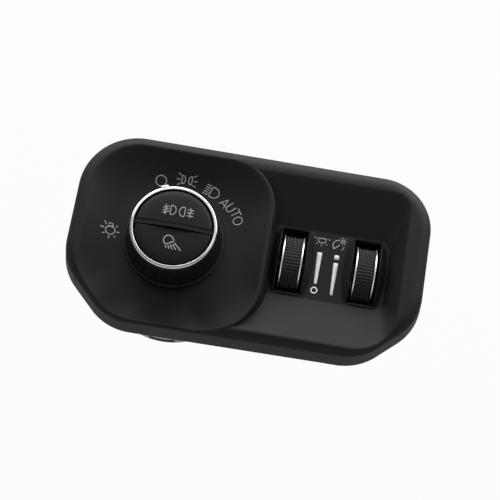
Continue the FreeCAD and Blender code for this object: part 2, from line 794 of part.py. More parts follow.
def make_housing():
    """the round rear housing: ledge for the board, ears, spring posts, stops and snap windows"""
    ledge = "can_inner - ledge_width"
    ledge_front = "board_front - ledge_thick"
    solids = [turned("can_tube", "Y", [
        ("can_inner", "can_front"), ("can_radius", "can_front"), ("can_radius", "can_rear - can_edge"),
        ("can_radius - can_edge", "can_rear"), ("can_inner", "can_rear"), ("can_inner", "board_front"),
        (ledge, "board_front"), (ledge, ledge_front), ("can_inner", ledge_front + " - ledge_width")],
        ("knob_x", "0", "knob_z"))]
    holes = []
    ear = "boss_radius + ear_wall"
    roots = round_places(size("can_radius + ear_reach / 4"), BOSS_ANGLES)
    for i, (x, z) in enumerate(boss_places()):
        tip = (str(x), "can_front", str(z))
        root = (str(roots[i][0]), "can_front", str(roots[i][1]))
        solids.append(rod("ear_%d" % i, Y_UP, tip, ear, "ear_thick"))
        solids.append(rod("ear_root_%d" % i, Y_UP, root, ear, "ear_thick"))
        holes.append(rod("ear_hole_%d" % i, Y_UP, tip, "screw_radius + screw_gap", "ear_thick"))
    for name, along in (("near_post", "0 - spring_half"), ("far_post", "spring_half - post_width")):
        corner = ("knob_x + " + along, "flange_front - screw_gap", "knob_z + spring_z")
        solids.append(box(name, corner, ("post_width", "flange_thick + 2 * screw_gap", "post_height")))
    wall = "0 - can_inner - can_wall / 2"
    reach = "lug_reach / 3 - lug_reach - flange_radius"
    spread = size("detent_angle") * (POSITIONS - 1) / 2 + STOP_SLACK + 2 * math.degrees(math.atan2(
        size("lug_reach"), size("flange_radius")))
    for name, sign in (("low_stop", -1), ("high_stop", 1)):
        stop = padded(name, [("0 - lug_reach", wall), ("lug_reach", wall), ("lug_reach", reach),
                             ("0 - lug_reach", reach)], "0", "flange_thick")
        solids.append(turn_about_knob(stop, sign * spread, "flange_front"))
    holes += windows("window", "window_width", "window_depth", "can_inner - can_wall",
                     "can_rear - window_edge - window_depth", "4 * can_wall")
    node("rear_housing", cut("can", fuse("can_solids", solids), holes))


def make_cover():
    """the cap that snaps in behind the board, with its three latches and the plug socket"""
    rim = "(can_inner - cover_gap)"
    rear = "can_rear - cover_sunk"
    parts = [turned("cover_shell", "Y", [
        ("0", rear + " - cover_thick"), (rim + " - cover_wall", rear + " - cover_thick"),
        (rim + " - cover_wall", "can_rear - cover_rim"), (rim, "can_rear - cover_rim"),
        (rim, rear), ("0", rear)], ("knob_x", "0", "knob_z"))]
    parts += windows("latch", "window_width - 2 * latch_gap", "window_depth - 1.5 * latch_gap",
                     rim + " - cover_wall + 0.2", "can_rear - window_edge - window_depth + 0.75 * latch_gap",
                     "cover_wall + can_wall - latch_gap")
    middle = "knob_x + plug_x"
    front = "can_rear - plug_depth"
    outside = box("plug_outside", (middle + " - plug_width / 2 - plug_wall", front,
                                   "knob_z - plug_height / 2 - plug_wall"),
                  ("plug_width + 2 * plug_wall", "plug_depth + plug_proud", "plug_height + 2 * plug_wall"))
    inside = box("plug_inside", (middle + " - plug_width / 2", front, "knob_z - plug_height / 2"),
                 ("plug_width", "plug_depth + plug_proud", "plug_height"))
    # two keys above the socket and a lock below it, so that the plug goes in one way round and stays
    top = "knob_z + plug_height / 2 + plug_wall"
    for name, along in (("left_key", "0 - plug_width / 4"), ("right_key", "plug_width / 4")):
        corner = ("%s + %s - key_width / 2" % (middle, along), rear, top)
        parts.append(box(name, corner, ("key_width", "plug_proud", "key_height")))
    low = "knob_z - plug_height / 2 - plug_wall - key_height"
    corner = (middle + " - lock_width / 2", rear + " + plug_proud / 3", low)
    parts.append(box("lock", corner, ("lock_width", "plug_proud / 3", "key_height")))
    node("rear_cover", cut("cover", fuse("cover_solids", parts + [outside]), [inside]))

    header = box("header", (middle + " - plug_width / 2 + header_gap", "board_rear",
                            "knob_z - plug_height / 2 + header_gap"),
                 ("plug_width - 2 * header_gap", front + " - board_rear", "plug_height - 2 * header_gap"))
    terminals = []
    for column in range(TERMINAL_COLUMNS):
        for row in (-1, 1):
            along = column - (TERMINAL_COLUMNS - 1) / 2
            terminals.append(box("terminal_%d_%d" % (column, row + 1), (
                middle + " + terminal_pitch * %.1f - terminal_side / 2" % along, "board_rear",
                "knob_z + %d * terminal_pitch / 2 - terminal_side / 2" % row),
                ("terminal_side", "can_rear - terminal_sunk - board_rear", "terminal_side")))
    node("connector_terminals", group("terminals", terminals))
    node("connector_header", cut("header_block", header, terminals))


def make_board():
    """the round board, what is soldered on it, the light pipes, the detent spring and the light guide"""
    board = rod("board", Y_UP, ("knob_x", "board_front", "knob_z"), "can_inner - screw_gap", "board_thick")
    node("main_board", board)
    can_place = ("knob_x - 3 * capacitor_radius", "board_rear", "knob_z + 5 * capacitor_radius")
    chips = [box("chip", ("knob_x + 0.8 * chip_side", "board_rear", "knob_z + 0.6 * chip_side"),
                 ("chip_side", "chip_height", "chip_side")),
             box("driver", ("knob_x + chip_side", "board_rear", "knob_z - 1.6 * chip_side"),
                 ("0.7 * chip_side", "chip_height", "0.9 * chip_side")),
             rod("capacitor", Y_UP, can_place, "capacitor_radius", "capacitor_height")]
    node("board_components", group("components", chips))

    lamps, pipes = [], []
    front = "(ring_front + pipe_front)"
    for i, sign in enumerate((-1, 1)):
        z = "knob_z + %d * pipe_z" % sign
        corner = ("knob_x + pipe_x - lamp_side / 2", "board_front - lamp_height", z + " - lamp_side / 2")
        lamps.append(box("lamp_%d" % i, corner, ("lamp_side", "lamp_height", "lamp_side")))
        length = "board_front - lamp_height - " + front
        pipes.append(rod("pipe_%d" % i, Y_UP, ("knob_x + pipe_x", front, z), "pipe_radius", length))
    node("board_lamps", group("lamps", lamps))
    node("button_light_pipes", group("pipes", pipes))

    nose = "flange_radius + spring_gap - notch_radius / 2"
    knee = "flange_radius + 2 * spring_sheet"
    side = [("spring_half", "spring_z - spring_sheet"), ("spring_shoulder", "spring_z - spring_sheet"),
            ("2", knee), ("0.6", nose)]
    back = [("0.4", nose + " + 1.4 * spring_sheet"), ("1.6", knee + " + 1.5 * spring_sheet"),
            ("spring_shoulder", "spring_z"), ("spring_half", "spring_z")]
    left = [("0 - " + x, z) for x, z in side]
    left_back = [("0 - " + x, z) for x, z in back]
    leaf = padded("detent_leaf", left + side[::-1] + back[::-1] + left_back, "flange_front", "flange_thick")
    node("detent_spring", place(leaf, "knob_x", "flange_front", "knob_z"))

    inner = "flange_radius + 2 * spring_sheet"
    outer = "can_inner - screw_gap"
    front = "bowl_front + wall"
    rear = "flange_front - 1"
    halo = [(inner, front), (outer, front), (outer, rear), (inner, rear)]
    node("symbol_light_guide", turned("halo", "Y", halo, ("knob_x", "0", "knob_z")))


def tread_ring():
    """the knurled tread: a ridged prism met by a grooved ring, which leaves a pyramid at each crossing"""
    half = size("wheel_width / 2 - rim_band")
    top = size("wheel_radius - tooth_sunk")
    root = top - size("tooth_height")
    inner = size("wheel_radius - tread_depth")
    teeth = int(size("tread_teeth"))
    columns = int(size("tread_columns"))
    ridges = []
    for i in range(2 * teeth):
        radius = root if i % 2 else top
        turn = math.pi * i / teeth
        ridges.append(V(-half, radius * math.cos(turn), radius * math.sin(turn)))
    grooves = [V(-half, inner, 0)]
    grooves += [V(half * (i / columns - 1), top if i % 2 else root, 0) for i in range(2 * columns + 1)]
    grooves.append(V(half, inner, 0))
    prism = Part.Face(Part.makePolygon(ridges + ridges[:1])).extrude(V(2 * half, 0, 0))
    ring = Part.Face(Part.makePolygon(grooves + grooves[:1])).revolve(V(), V(1, 0, 0), 360)
    return prism.common(ring)


def make_wheel(which, inward):
    """one thumbwheel: hub, knurled tread, two bright bands and the axle it turns with"""
    centre_x = which + "_wheel_x"
    centre = (centre_x, "wheel_axis_depth", "wheel_z")
    half = "(wheel_width / 2)"
    tread_half = "(wheel_width / 2 - rim_band)"
    inner = "(wheel_radius - tread_depth)"
    node(which + "_wheel_hub", turned(which + "_hub", "X", [
        ("0 - " + tread_half, "axle_radius"), (tread_half, "axle_radius"), (tread_half, inner),
        ("0 - " + tread_half, inner)], centre))
    bands = []
    for name, sign in (("near", "0 - "), ("far", "")):
        bands.append(turned("%s_band_%s" % (which, name), "X", [
            (sign + tread_half, "wheel_radius - band_height"), (sign + half, "wheel_radius - band_height"),
            (sign + half, "wheel_radius - band_edge"), (sign + "(%s - band_edge)" % half, "wheel_radius"),
            (sign + tread_half, "wheel_radius")], centre))
    node(which + "_wheel_bands", group(which + "_bands", bands))
    tread = tread_ring()
    tread.translate(V(size(centre_x), size("wheel_axis_depth"), size("wheel_z")))
    node(which + "_wheel_tread", feature(which + "_tread", tread))
    if inward > 0:
        start = "(cradle_left + screw_gap)"
        end = "(cradle_middle - board_thick / 2 - shaft_gap)"
    else:
        start = "(cradle_middle + board_thick / 2 + shaft_gap)"
        end = "(cradle_right - screw_gap)"
    axle = rod(which + "_axle", X_UP, (start, "wheel_axis_depth", "wheel_z"), "axle_radius",
               "%s - %s" % (end, start))
    node(which + "_wheel_axle", axle)


def make_cradle():
    """the cradle of the thumbwheels, with the board and the two potentiometers between them"""
    span = "(cradle_right - cradle_left)"
    bottom = "wheel_z - cradle_half"
    deep = "(cradle_rear - (cradle_front))"
    corner = V(size("cradle_left"), size("cradle_front"), size(bottom + " - cradle_wall"))
    extent = (size(span), size(deep + " + cradle_wall"), size("2 * (cradle_half + cradle_wall)"))
    block = Part.makeBox(*extent, corner)
    rear_edges = edges_at(block, size("cradle_rear + cradle_wall"))
    side_edges = [edge for edge in block.Edges if abs(edge.tangentAt(edge.FirstParameter).y) > 0.5]
    outside = feature("cradle_outside", block.makeFillet(size("cradle_round"), rear_edges + side_edges))
    inside = box("cradle_inside", ("cradle_left + cradle_wall", "cradle_front", bottom),
                 (span + " - 2 * cradle_wall", deep, "2 * cradle_half"))
    end = ("cradle_left", "wheel_axis_depth", "wheel_z")
    bearing = rod("axle_bearing", X_UP, end, "axle_radius + running_gap", span)
    solids = [outside]
    holes = [inside, bearing]
    for i, (x, z) in enumerate(cradle_boss_places()):
        start = (str(x), "can_front", str(z))
        solids.append(rod("foot_%d" % i, Y_UP, start, "boss_radius + ear_wall", "ear_thick"))
        holes.append(rod("foot_hole_%d" % i, Y_UP, start, "screw_radius + screw_gap", "ear_thick"))
    node("wheel_cradle", cut("cradle", fuse("cradle_solids", solids), holes))

    face = "cradle_middle - board_thick / 2"
    stack = "guide_thick + lamp_height"
    node("dimmer_board", box("standing_board", (face, "cradle_front + " + stack, bottom),
                             ("board_thick", deep + " - (%s)" % stack, "2 * cradle_half")))
    for which, x in (("left", face + " - pot_thick"), ("right", face + " + board_thick")):
        corner = (x, "wheel_axis_depth - axle_radius - pot_wall", "wheel_z - pot_side / 2")
        case = box(which + "_pot", corner, ("pot_thick", "pot_side", "pot_side"))
        end = (x, "wheel_axis_depth", "wheel_z")
        hole = rod(which + "_pot_hole", X_UP, end, "axle_radius + running_gap", "pot_thick")
        node(which + "_potentiometer", cut(which + "_pot_case", case, [hole]))
    node("legend_light_guide", box("legend_guide", (
        "cradle_middle - guide_half_width", "cradle_front", "wheel_z - guide_half_height"),
        ("2 * guide_half_width", "guide_thick", "2 * guide_half_height")))
    node("legend_lamps", group("legend_lamp_set", [
        box("legend_lamp_%d" % i, (face, "cradle_front + guide_thick", "wheel_z + " + z),
            ("board_thick", "lamp_height", "lamp_side"))
        for i, z in enumerate(("pot_side / 2 + lamp_side", "0 - pot_side / 2 - 2 * lamp_side"))]))


def screw_set(name, places):
    """pan-head screws that hold ears down on bosses"""
    screws = []
    for i, (x, z) in enumerate(places):
        seat = (str(x), "can_front + ear_thick", str(z))
        tip = (str(x), "can_front - screw_depth + screw_gap", str(z))
        length = "screw_depth - screw_gap + ear_thick"
        head = rod("%s_head_%d" % (name, i), Y_UP, seat, "2 * screw_radius", "screw_head")
        shank = rod("%s_shank_%d" % (name, i), Y_UP, tip, "screw_radius", length)
        screws.append(fuse("%s_%d" % (name, i), [head, shank]))
    node(name, group(name + "_set", screws))


def make_clips():
    """the sprung sheet-metal clips on the bezel's towers"""
    inside = "(tower_thick / 2)"
    outside = "(tower_thick / 2 + clip_sheet)"
    side = [(outside, "clip_start"), ("(%s + clip_bulge)" % inside, "clip_crest"),
            (outside, "clip_reach - clip_sheet"), (outside, "clip_reach + clip_sheet")]
    points = [(inside, "clip_start")] + side
    points += [("0 - " + across, along) for across, along in side[::-1]]
    points += [("0 - " + inside, "clip_start"), ("0 - " + inside, "clip_reach"), (inside, "clip_reach")]
    clips = []
    for i, (x, z) in enumerate(tower_places()):
        body = doc.addObject("PartDesign::Body", "clip_%d" % i)
        profile = [(along, across) for across, along in points]
        sketch = sketch_of(body, "clip_profile_%d" % i, "YZ_Plane", profile)
        pad = body.newObject("PartDesign::Pad", "clip_pad_%d" % i)
        pad.Profile = sketch
        pad.Midplane = True
        bind(pad, {"Length": "clip_width"})
        clips.append(place(body, str(x), "0", str(z)))
    node("dashboard_clips", group("clip_set", clips))


make_bezel()
make_skirt()
make_ring_and_pointer()
make_rotor()
make_core()
make_button("fog", 1)
make_button("cargo", -1)
make_housing()
make_cover()
make_board()
make_wheel("left", 1)
make_wheel("right", -1)
make_cradle()
screw_set("housing_screws", boss_places())
screw_set("cradle_screws", cradle_boss_places())
make_clips()
doc.recompute()

failed = [item.Label for item in doc.Objects if "Invalid" in item.State or "Error" in item.State]
if failed:
    raise RuntimeError("not built: " + ", ".join(failed))
os.makedirs("parts", exist_ok=True)
for name, item in NODES.items():
    if item.Shape.isNull() or not item.Shape.isValid():
        raise RuntimeError("%s has no valid shape" % name)
    item.Shape.exportStep("parts/%s.step" % name)
    print(name, len(item.Shape.Solids), round(item.Shape.Volume, 1))
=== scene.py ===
# %% [markdown]
# # A dashboard headlight switch
# The switch is one moulded black bezel with two wells. In the round dish on the left stands the lamp knob,
# and in the flat well on the right lie two thumbwheels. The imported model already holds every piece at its
# real size. This lesson gives each piece the surface that the eye expects: soft moulded edges, a fluted
# skirt, bright trim, knurled treads and printed signs.

# %% Load the frame
import json
import bmesh
import bpy
import numpy as np
from mathutils import Matrix, Vector, geometry
from mathutils.bvhtree import BVHTree


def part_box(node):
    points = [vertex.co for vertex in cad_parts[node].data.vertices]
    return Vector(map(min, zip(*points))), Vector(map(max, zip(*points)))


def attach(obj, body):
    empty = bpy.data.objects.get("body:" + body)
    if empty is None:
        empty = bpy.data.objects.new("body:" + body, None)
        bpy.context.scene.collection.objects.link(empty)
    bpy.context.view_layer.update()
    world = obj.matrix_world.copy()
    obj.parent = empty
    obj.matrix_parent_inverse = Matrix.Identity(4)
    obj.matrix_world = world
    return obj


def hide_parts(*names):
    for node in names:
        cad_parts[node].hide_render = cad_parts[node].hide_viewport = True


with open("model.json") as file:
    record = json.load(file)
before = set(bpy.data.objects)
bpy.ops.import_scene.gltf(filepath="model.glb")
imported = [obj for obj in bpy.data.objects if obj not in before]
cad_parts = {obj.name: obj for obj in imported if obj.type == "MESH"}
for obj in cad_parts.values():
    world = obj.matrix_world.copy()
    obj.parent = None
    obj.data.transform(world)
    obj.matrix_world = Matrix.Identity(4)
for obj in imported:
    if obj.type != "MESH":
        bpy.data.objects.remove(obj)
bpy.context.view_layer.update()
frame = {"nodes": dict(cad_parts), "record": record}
MM = 0.001
print("pieces in the frame:", len(frame["nodes"]))

# %% [markdown]
# Everything is laid out from a few places that the frame already knows: the knob's axis, the two wheels
# and the bezel's box. X runs to the right of the face, Y into the dashboard and Z up, and all the working
# sizes below are in millimetres. Three more are given: the width of the ring's band, how far the ring stands
# in front of the bezel's crest, and the depth at which the rear rim seats on the dashboard.

# %% Places read from the frame
def box_mm(node):
    """The lowest and highest corner of a node, in millimetres."""
    low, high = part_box(node)
    return np.array(low) / MM, np.array(high) / MM


bezel_low, bezel_high = box_mm("bezel")
ring_low, ring_high = box_mm("knob_ring")
KNOB = np.array([(ring_low[0] + ring_high[0]) / 2, (ring_low[2] + ring_high[2]) / 2])
RING_FACE = ring_low[1]
RING_OUTER = (ring_high[0] - ring_low[0]) / 2
RING_DEEP = ring_high[1] - RING_FACE
RING_BAND = 1.35
RING_PROUD = 12.0
RING_CENTRE = np.array([KNOB[0], RING_FACE, KNOB[1]])
SEAT = 0.0
CREST = RING_FACE + RING_PROUD
HALF_WIDTH = (bezel_high[0] - bezel_low[0]) / 2
HALF_HEIGHT = (bezel_high[2] - bezel_low[2]) / 2
WHEELS = {}
for side in ("left", "right"):
    low, high = box_mm(side + "_wheel_bands")
    half = (high - low) / 2
    WHEELS[side] = {"centre": (low + high) / 2, "radius": half[2], "half": half[0]}
WHEEL_Z = WHEELS["left"]["centre"][2]
print("knob axis at", KNOB.round(2), "crest at", round(CREST, 2), "wheels at",
      [WHEELS[s]["centre"].round(2).tolist() for s in WHEELS])

# %% [markdown]
# Most pieces are made the same way: numpy works out a grid of points, and the grid becomes quads. Several
# grids that share an edge are put in one mesh and joined where their points meet, so that the light runs
# over the seam without a break.

# %% Grids into meshes
def grid_faces(rows, columns, wrap):
    """Quads of a grid of points, rows by columns. A wrapped grid closes across its columns."""
    last = columns if wrap else columns - 1
    row, column = np.meshgrid(np.arange(rows - 1), np.arange(last), indexing="ij")
    after = (column + 1) % columns
    quads = np.stack([row * columns + column, row * columns + after,
                      (row + 1) * columns + after, (row + 1) * columns + column], -1)
    return quads.reshape(-1, 4)


class Skin:
    """Patches of points in millimetres that become one mesh in metres."""

    def __init__(self):
        self.points, self.faces, self.count = [], [], 0

    def grid(self, points, wrap=False, flip=False):
        """Adds a patch. Its points have the shape rows, columns, 3."""
        points = np.asarray(points, float)
        quads = grid_faces(points.shape[0], points.shape[1], wrap)
        self.add(points.reshape(-1, 3), quads[:, ::-1] if flip else quads)

    def add(self, points, faces):
        """Adds loose points and the faces between them, numbered from the first of these points."""
        self.points.append(points)
        self.faces += (np.asarray(faces) + self.count).tolist()
        self.count += len(points)

    def mesh(self, name, weld=0.002, sharp=None, closed=False):
        """The object, in metres, with shared points joined. A closed one is turned outwards."""
        data = bpy.data.meshes.new(name)
        data.from_pydata((np.concatenate(self.points) * MM).tolist(), [], self.faces)
        work = bmesh.new()
        work.from_mesh(data)
        bmesh.ops.remove_doubles(work, verts=work.verts, dist=weld * MM)
        bmesh.ops.dissolve_degenerate(work, edges=work.edges, dist=weld * MM / 4)
        if closed:
            bmesh.ops.recalc_face_normals(work, faces=work.faces)
        work.to_mesh(data)
        work.free()
        data.shade_smooth()
        if sharp:
            data.set_sharp_from_angle(angle=np.radians(sharp))
        piece = bpy.data.objects.new(name, data)
        bpy.context.scene.collection.objects.link(piece)
        return piece


PIECES = []


def settle(piece, body, slot, *nodes, finish=None):
    """Makes a finished piece ride on its body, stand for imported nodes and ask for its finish."""
    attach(piece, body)
    if nodes:
        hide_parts(*nodes)
    PIECES.append((piece, finish or slot))
    return piece


def blend(first, last, share):
    """A number, a point or a whole row at a share of the way from first to last."""
    return first * (1 - share) + last * share


# %% [markdown]
# The bezel's outlines are polygons with rounded corners: six sides for the outside and five for the dish's
# crest. One function draws both, and small outlines later on. Each corner becomes an arc that touches both
# of its sides.

# %% Rounded outlines
def arc_points(centre, radius, start, end, count=18):
    """Points of an arc between two angles in degrees. A pair of radii makes it an ellipse's."""
    turn = np.radians(np.linspace(start, end, count))
    return np.asarray(centre) + radius * np.stack([np.cos(turn), np.sin(turn)], -1)


def unit(vectors):
    """The same directions with a length of 1."""
    return vectors / np.linalg.norm(vectors, axis=-1, keepdims=True)


def rounded(corners, radii, step=0.6):
    """A closed outline, as points about one step apart: arcs at the corners, straight runs between."""
    corners = np.asarray(corners, float)
    beside = np.roll(corners, 1, 0), np.roll(corners, -1, 0)
    arcs = []
    for corner, last, following, radius in zip(corners, *beside, radii):
        before, after = unit(last - corner), unit(following - corner)
        half = np.arccos(np.clip(before @ after, -1, 1)) / 2
        centre = corner + unit(before + after) * radius / np.sin(half)
        start, end = (corner + way * radius / np.tan(half) - centre for way in (before, after))
        swing = np.arctan2(start[0] * end[1] - start[1] * end[0], start @ end)
        first = np.degrees(np.arctan2(start[1], start[0]))
        count = max(3, int(abs(swing) * radius / step) + 1)
        arcs.append(arc_points(centre, radius, first, first + np.degrees(swing), count))
    closed = []
    for arc, following in zip(arcs, arcs[1:] + arcs[:1]):
        run = following[0] - arc[-1]
        count = max(2, int(np.linalg.norm(run) / step) + 1)
        closed += [arc, arc[-1] + run * np.linspace(0, 1, count + 1)[1:-1, None]]
    return np.concatenate(closed)


def outward(outline):
    """Unit normals of a closed outline, pointing away from what it encloses."""
    along = unit(np.roll(outline, -1, 0) - np.roll(outline, 1, 0))
    area = np.sum(outline[:, 0] * np.roll(outline[:, 1], -1) - outline[:, 1] * np.roll(outline[:, 0], -1))
    return np.stack([along[:, 1], -along[:, 0]], -1) * np.sign(area)


def lift(outline, depth):
    """Points of a flat outline, as X and Z, put at a depth along Y."""
    return np.stack([outline[:, 0], np.broadcast_to(depth, len(outline)), outline[:, 1]], -1)


# %% [markdown]
# The outside of the bezel is drawn where it meets the dashboard. Its side leans in by 1.4 mm towards the
# front and then rolls over on to the face. The roll is an ellipse, wider across the face than it is deep,
# which gives the soft pale edge that the real moulding shows.

# %% Bezel: outside and roll
DRAFT = 1.4
ROLL_WIDE = 5.6
ROLL_DEEP = 4.2
outside_corners = [(-HALF_WIDTH, HALF_HEIGHT), (HALF_WIDTH, HALF_HEIGHT), (HALF_WIDTH, 23.6 - HALF_HEIGHT),
                   (HALF_WIDTH - 24.4, 1.4 - HALF_HEIGHT), (25.0 - HALF_WIDTH, -HALF_HEIGHT),
                   (-HALF_WIDTH, 24.5 - HALF_HEIGHT)]
OUTSIDE = rounded(outside_corners, [28, 25, 26, 26, 26, 26])
OUTSIDE_NORMAL = outward(OUTSIDE)
FRONT_EDGE = OUTSIDE - OUTSIDE_NORMAL * DRAFT


def inset_from_edge(points):
    """How far flat points lie inside the front edge."""
    start, end = FRONT_EDGE, np.roll(FRONT_EDGE, -1, 0)
    run = end - start
    best = np.full(len(points), 1e9)
    for part in np.array_split(np.arange(len(points)), max(1, len(points) // 400)):
        if len(part) == 0:
            continue
        offset = points[part, None] - start[None]
        share = np.clip((offset * run).sum(-1) / (run * run).sum(-1), 0, 1)
        best[part] = np.linalg.norm(offset - share[..., None] * run, axis=-1).min(1)
    return best


def roll_depth(inset):
    """Depth of the face: an ellipse near the edge, and level further in."""
    across = np.clip(1 - inset / ROLL_WIDE, 0, 1)
    return CREST + ROLL_DEEP * (1 - np.sqrt(1 - across ** 2))


def face_depth(outline):
    """Depth of the face under flat points, from their distance to the edge."""
    return roll_depth(inset_from_edge(outline))


print("outline points:", len(OUTSIDE))

# %% [markdown]
# The dish starts at a crest, a square with one cut corner, and sinks to a round floor about the knob. Going
# from the crest inwards, its depth follows one minus a power of what is left, so it falls fastest at the
# crest and arrives level at the floor. The crest itself is softened by a small curve between two points,
# one on the face and one in the dish.

# %% Bezel: dish
BOWL_HALF, BOWL_CUT = 41.3, 19.7
BOWL_DEPTH, BOWL_FLOOR = 7.8, 26.5
BOWL_POWER, BOWL_SOFT = 1.8, 0.055
KNOB_HOLE, HOLE_ROUND = 20.4, 0.3
LIP, SHELL = 0.55, 2.4
bowl_corners = np.array([(-BOWL_HALF, BOWL_HALF), (BOWL_HALF, BOWL_HALF), (BOWL_HALF, -BOWL_HALF),
                         (BOWL_CUT - BOWL_HALF, -BOWL_HALF), (-BOWL_HALF, BOWL_CUT - BOWL_HALF)]) + KNOB
BOWL_RADII = [22, 22, 25, 20, 20]
BOWL = rounded(bowl_corners, BOWL_RADII)
BOWL_NORMAL = outward(BOWL)
BOWL_FACE = BOWL + BOWL_NORMAL * LIP


def bowl_depth(share):
    """Depth below the crest at a share of the way from the crest, 0, to the floor, 1."""
    return BOWL_DEPTH * (1 - (1 - np.clip(share, 0, 1)) ** BOWL_POWER)


def soften(before, corner, after, count):
    """Rows of a quadratic curve from one row of points to another, past a corner row."""
    share = np.linspace(0, 1, count)[:, None, None]
    return (1 - share) ** 2 * before + 2 * share * (1 - share) * corner + share ** 2 * after


def make_dish(skin):
    """The dish as rings between its crest and the knob's hole."""
    spoke = unit(BOWL - KNOB)
    crest_depth = face_depth(BOWL)

    def ring_at(share):
        """A ring between crest and floor, sunk by the power law."""
        flat = blend(BOWL, KNOB + spoke * BOWL_FLOOR, share)
        return lift(flat, blend(crest_depth, CREST, share) + bowl_depth(share))

    def circle_at(radius, down=0.0):
        """A circle about the knob, on the floor or below it."""
        return lift(KNOB + spoke * radius, CREST + BOWL_DEPTH + down)

    top = lift(BOWL_FACE, face_depth(BOWL_FACE))
    rows = list(soften(top, ring_at(0.0), ring_at(BOWL_SOFT), 6))
    rows += [ring_at(share) for share in np.linspace(BOWL_SOFT, 1, 40)[1:]]
    rows += [circle_at(radius) for radius in np.linspace(BOWL_FLOOR, KNOB_HOLE + HOLE_ROUND, 5)[1:]]
    rows += list(soften(rows[-1], circle_at(KNOB_HOLE), circle_at(KNOB_HOLE, HOLE_ROUND), 4))[1:]
    rows.append(circle_at(KNOB_HOLE, SHELL))
    skin.grid(rows, wrap=True, flip=True)


print("dish: a crest of", len(BOWL), "points")

# %% [markdown]
# The flat well is lofted ring by ring. Each ring is the well's outline at one depth. Its left side is the
# ridge, which keeps an even distance from the dish's crest, and its other sides close in from the mouth to
# the floor. One share, from 0 at the mouth to 1 at the floor, says how far in and how deep a ring lies, so
# the wall is a straight slope. Small curves soften it at both ends.

# %% Bezel: flat well
WELL_DEPTH = 10.0
# Top, bottom, right side and the radii of the high and low corners, at the mouth and at the floor. The last
# row says which way each of them goes when the outline grows.
MOUTH = np.array([37.0, -39.7, HALF_WIDTH - 11.35, 9.0, 19.0])
FLOOR = np.array([15.7, -17.5, WHEELS["right"]["centre"][0] + 10.2, 5.0, 5.0])
GROW = np.array([1, -1, 1, 1, 1])
SLOPE_START, SLOPE_END, FOOT_CORNER, FOOT_END = 0.05, 0.90, 0.96, 0.995
FOOT_INSET = 0.35
RIDGE_TOP, RIDGE_FOOT = 1.4, 4.1
FLOOR_DEPTH = CREST + WELL_DEPTH
dish_right = KNOB[0] + BOWL_HALF
dish_top_arc = KNOB + (BOWL_HALF - BOWL_RADII[1], BOWL_HALF - BOWL_RADII[1])
dish_low_arc = KNOB + (BOWL_HALF - BOWL_RADII[2], BOWL_RADII[2] - BOWL_HALF)


def ridge_line(grow, top, bottom, count):
    """The dish's right side moved outwards, from one height down to another, evenly spaced."""
    x = dish_right + grow
    upper, lower = BOWL_RADII[1] + grow, BOWL_RADII[2] + grow
    first = np.degrees(np.arcsin(np.clip((top - dish_top_arc[1]) / upper, 0, 1)))
    last = np.degrees(np.arcsin(np.clip((dish_low_arc[1] - bottom) / lower, 0, 1)))
    high = min(top, dish_top_arc[1])
    low = max(bottom, dish_low_arc[1])
    line = np.stack([np.full(40, x), np.linspace(high, low, 40)], -1)
    if first > 0:
        line = np.concatenate([arc_points(dish_top_arc, upper, first, 0, 40), line])
    if last > 0:
        line = np.concatenate([line, arc_points(dish_low_arc, lower, 0, -last, 40)])
    travelled = np.concatenate([[0], np.cumsum(np.linalg.norm(np.diff(line, axis=0), axis=1))])
    keep = np.linspace(0, travelled[-1], count)
    return np.stack([np.interp(keep, travelled, line[:, 0]), np.interp(keep, travelled, line[:, 1])], -1)


def well_ring(share, lip=0.0):
    """The well's outline at a share of the way from mouth to floor: ridge, bottom, right side, top."""
    top, bottom, right, high, low = blend(MOUTH, FLOOR, share) + lip * GROW
    ridge = ridge_line(blend(RIDGE_TOP, RIDGE_FOOT, share) - lip, top, bottom, 110)
    low_arc = arc_points((right - low, bottom + low), low, -90, 0, 30)
    high_arc = arc_points((right - high, top - high), high, 0, 90, 22)
    bottom_side = np.linspace(ridge[-1], low_arc[0], 90)[1:-1]
    right_side = np.linspace(low_arc[-1], high_arc[0], 50)[1:-1]
    top_side = np.linspace(high_arc[-1], ridge[0], 90)[1:-1]
    return np.concatenate([ridge, bottom_side, low_arc, right_side, high_arc, top_side])


WELL_FACE = well_ring(0.0, LIP)
WELL_FOOT = well_ring(1.0, -FOOT_INSET)


def make_well(skin):
    """The well's sloping walls, as rings from the face to the floor."""
    mouth_depth = face_depth(well_ring(0.0))

    def ring_at(share):
        """The outline at a share, sunk by the same share."""
        return lift(well_ring(share), blend(mouth_depth, FLOOR_DEPTH, share))

    top = lift(WELL_FACE, face_depth(WELL_FACE))
    foot = lift(well_ring(FOOT_END), FLOOR_DEPTH)
    rows = list(soften(top, ring_at(0.0), ring_at(SLOPE_START), 6))
    rows += [ring_at(share) for share in np.linspace(SLOPE_START, SLOPE_END, 16)[1:]]
    rows += list(soften(ring_at(SLOPE_END), ring_at(FOOT_CORNER), foot, 9))[1:]
    rows.append(lift(WELL_FOOT, FLOOR_DEPTH))
    skin.grid(rows, wrap=True)


print("flat well: a foot of", len(WELL_FOOT), "points")

# %% [markdown]
# The face between the crests is level, with two holes in it and a rolled edge. No grid follows three
# outlines at once, so this one surface is filled with triangles between the outlines, and rows of points
# along the roll keep its curve. The flat floor of the wheels' well is filled in the same way.

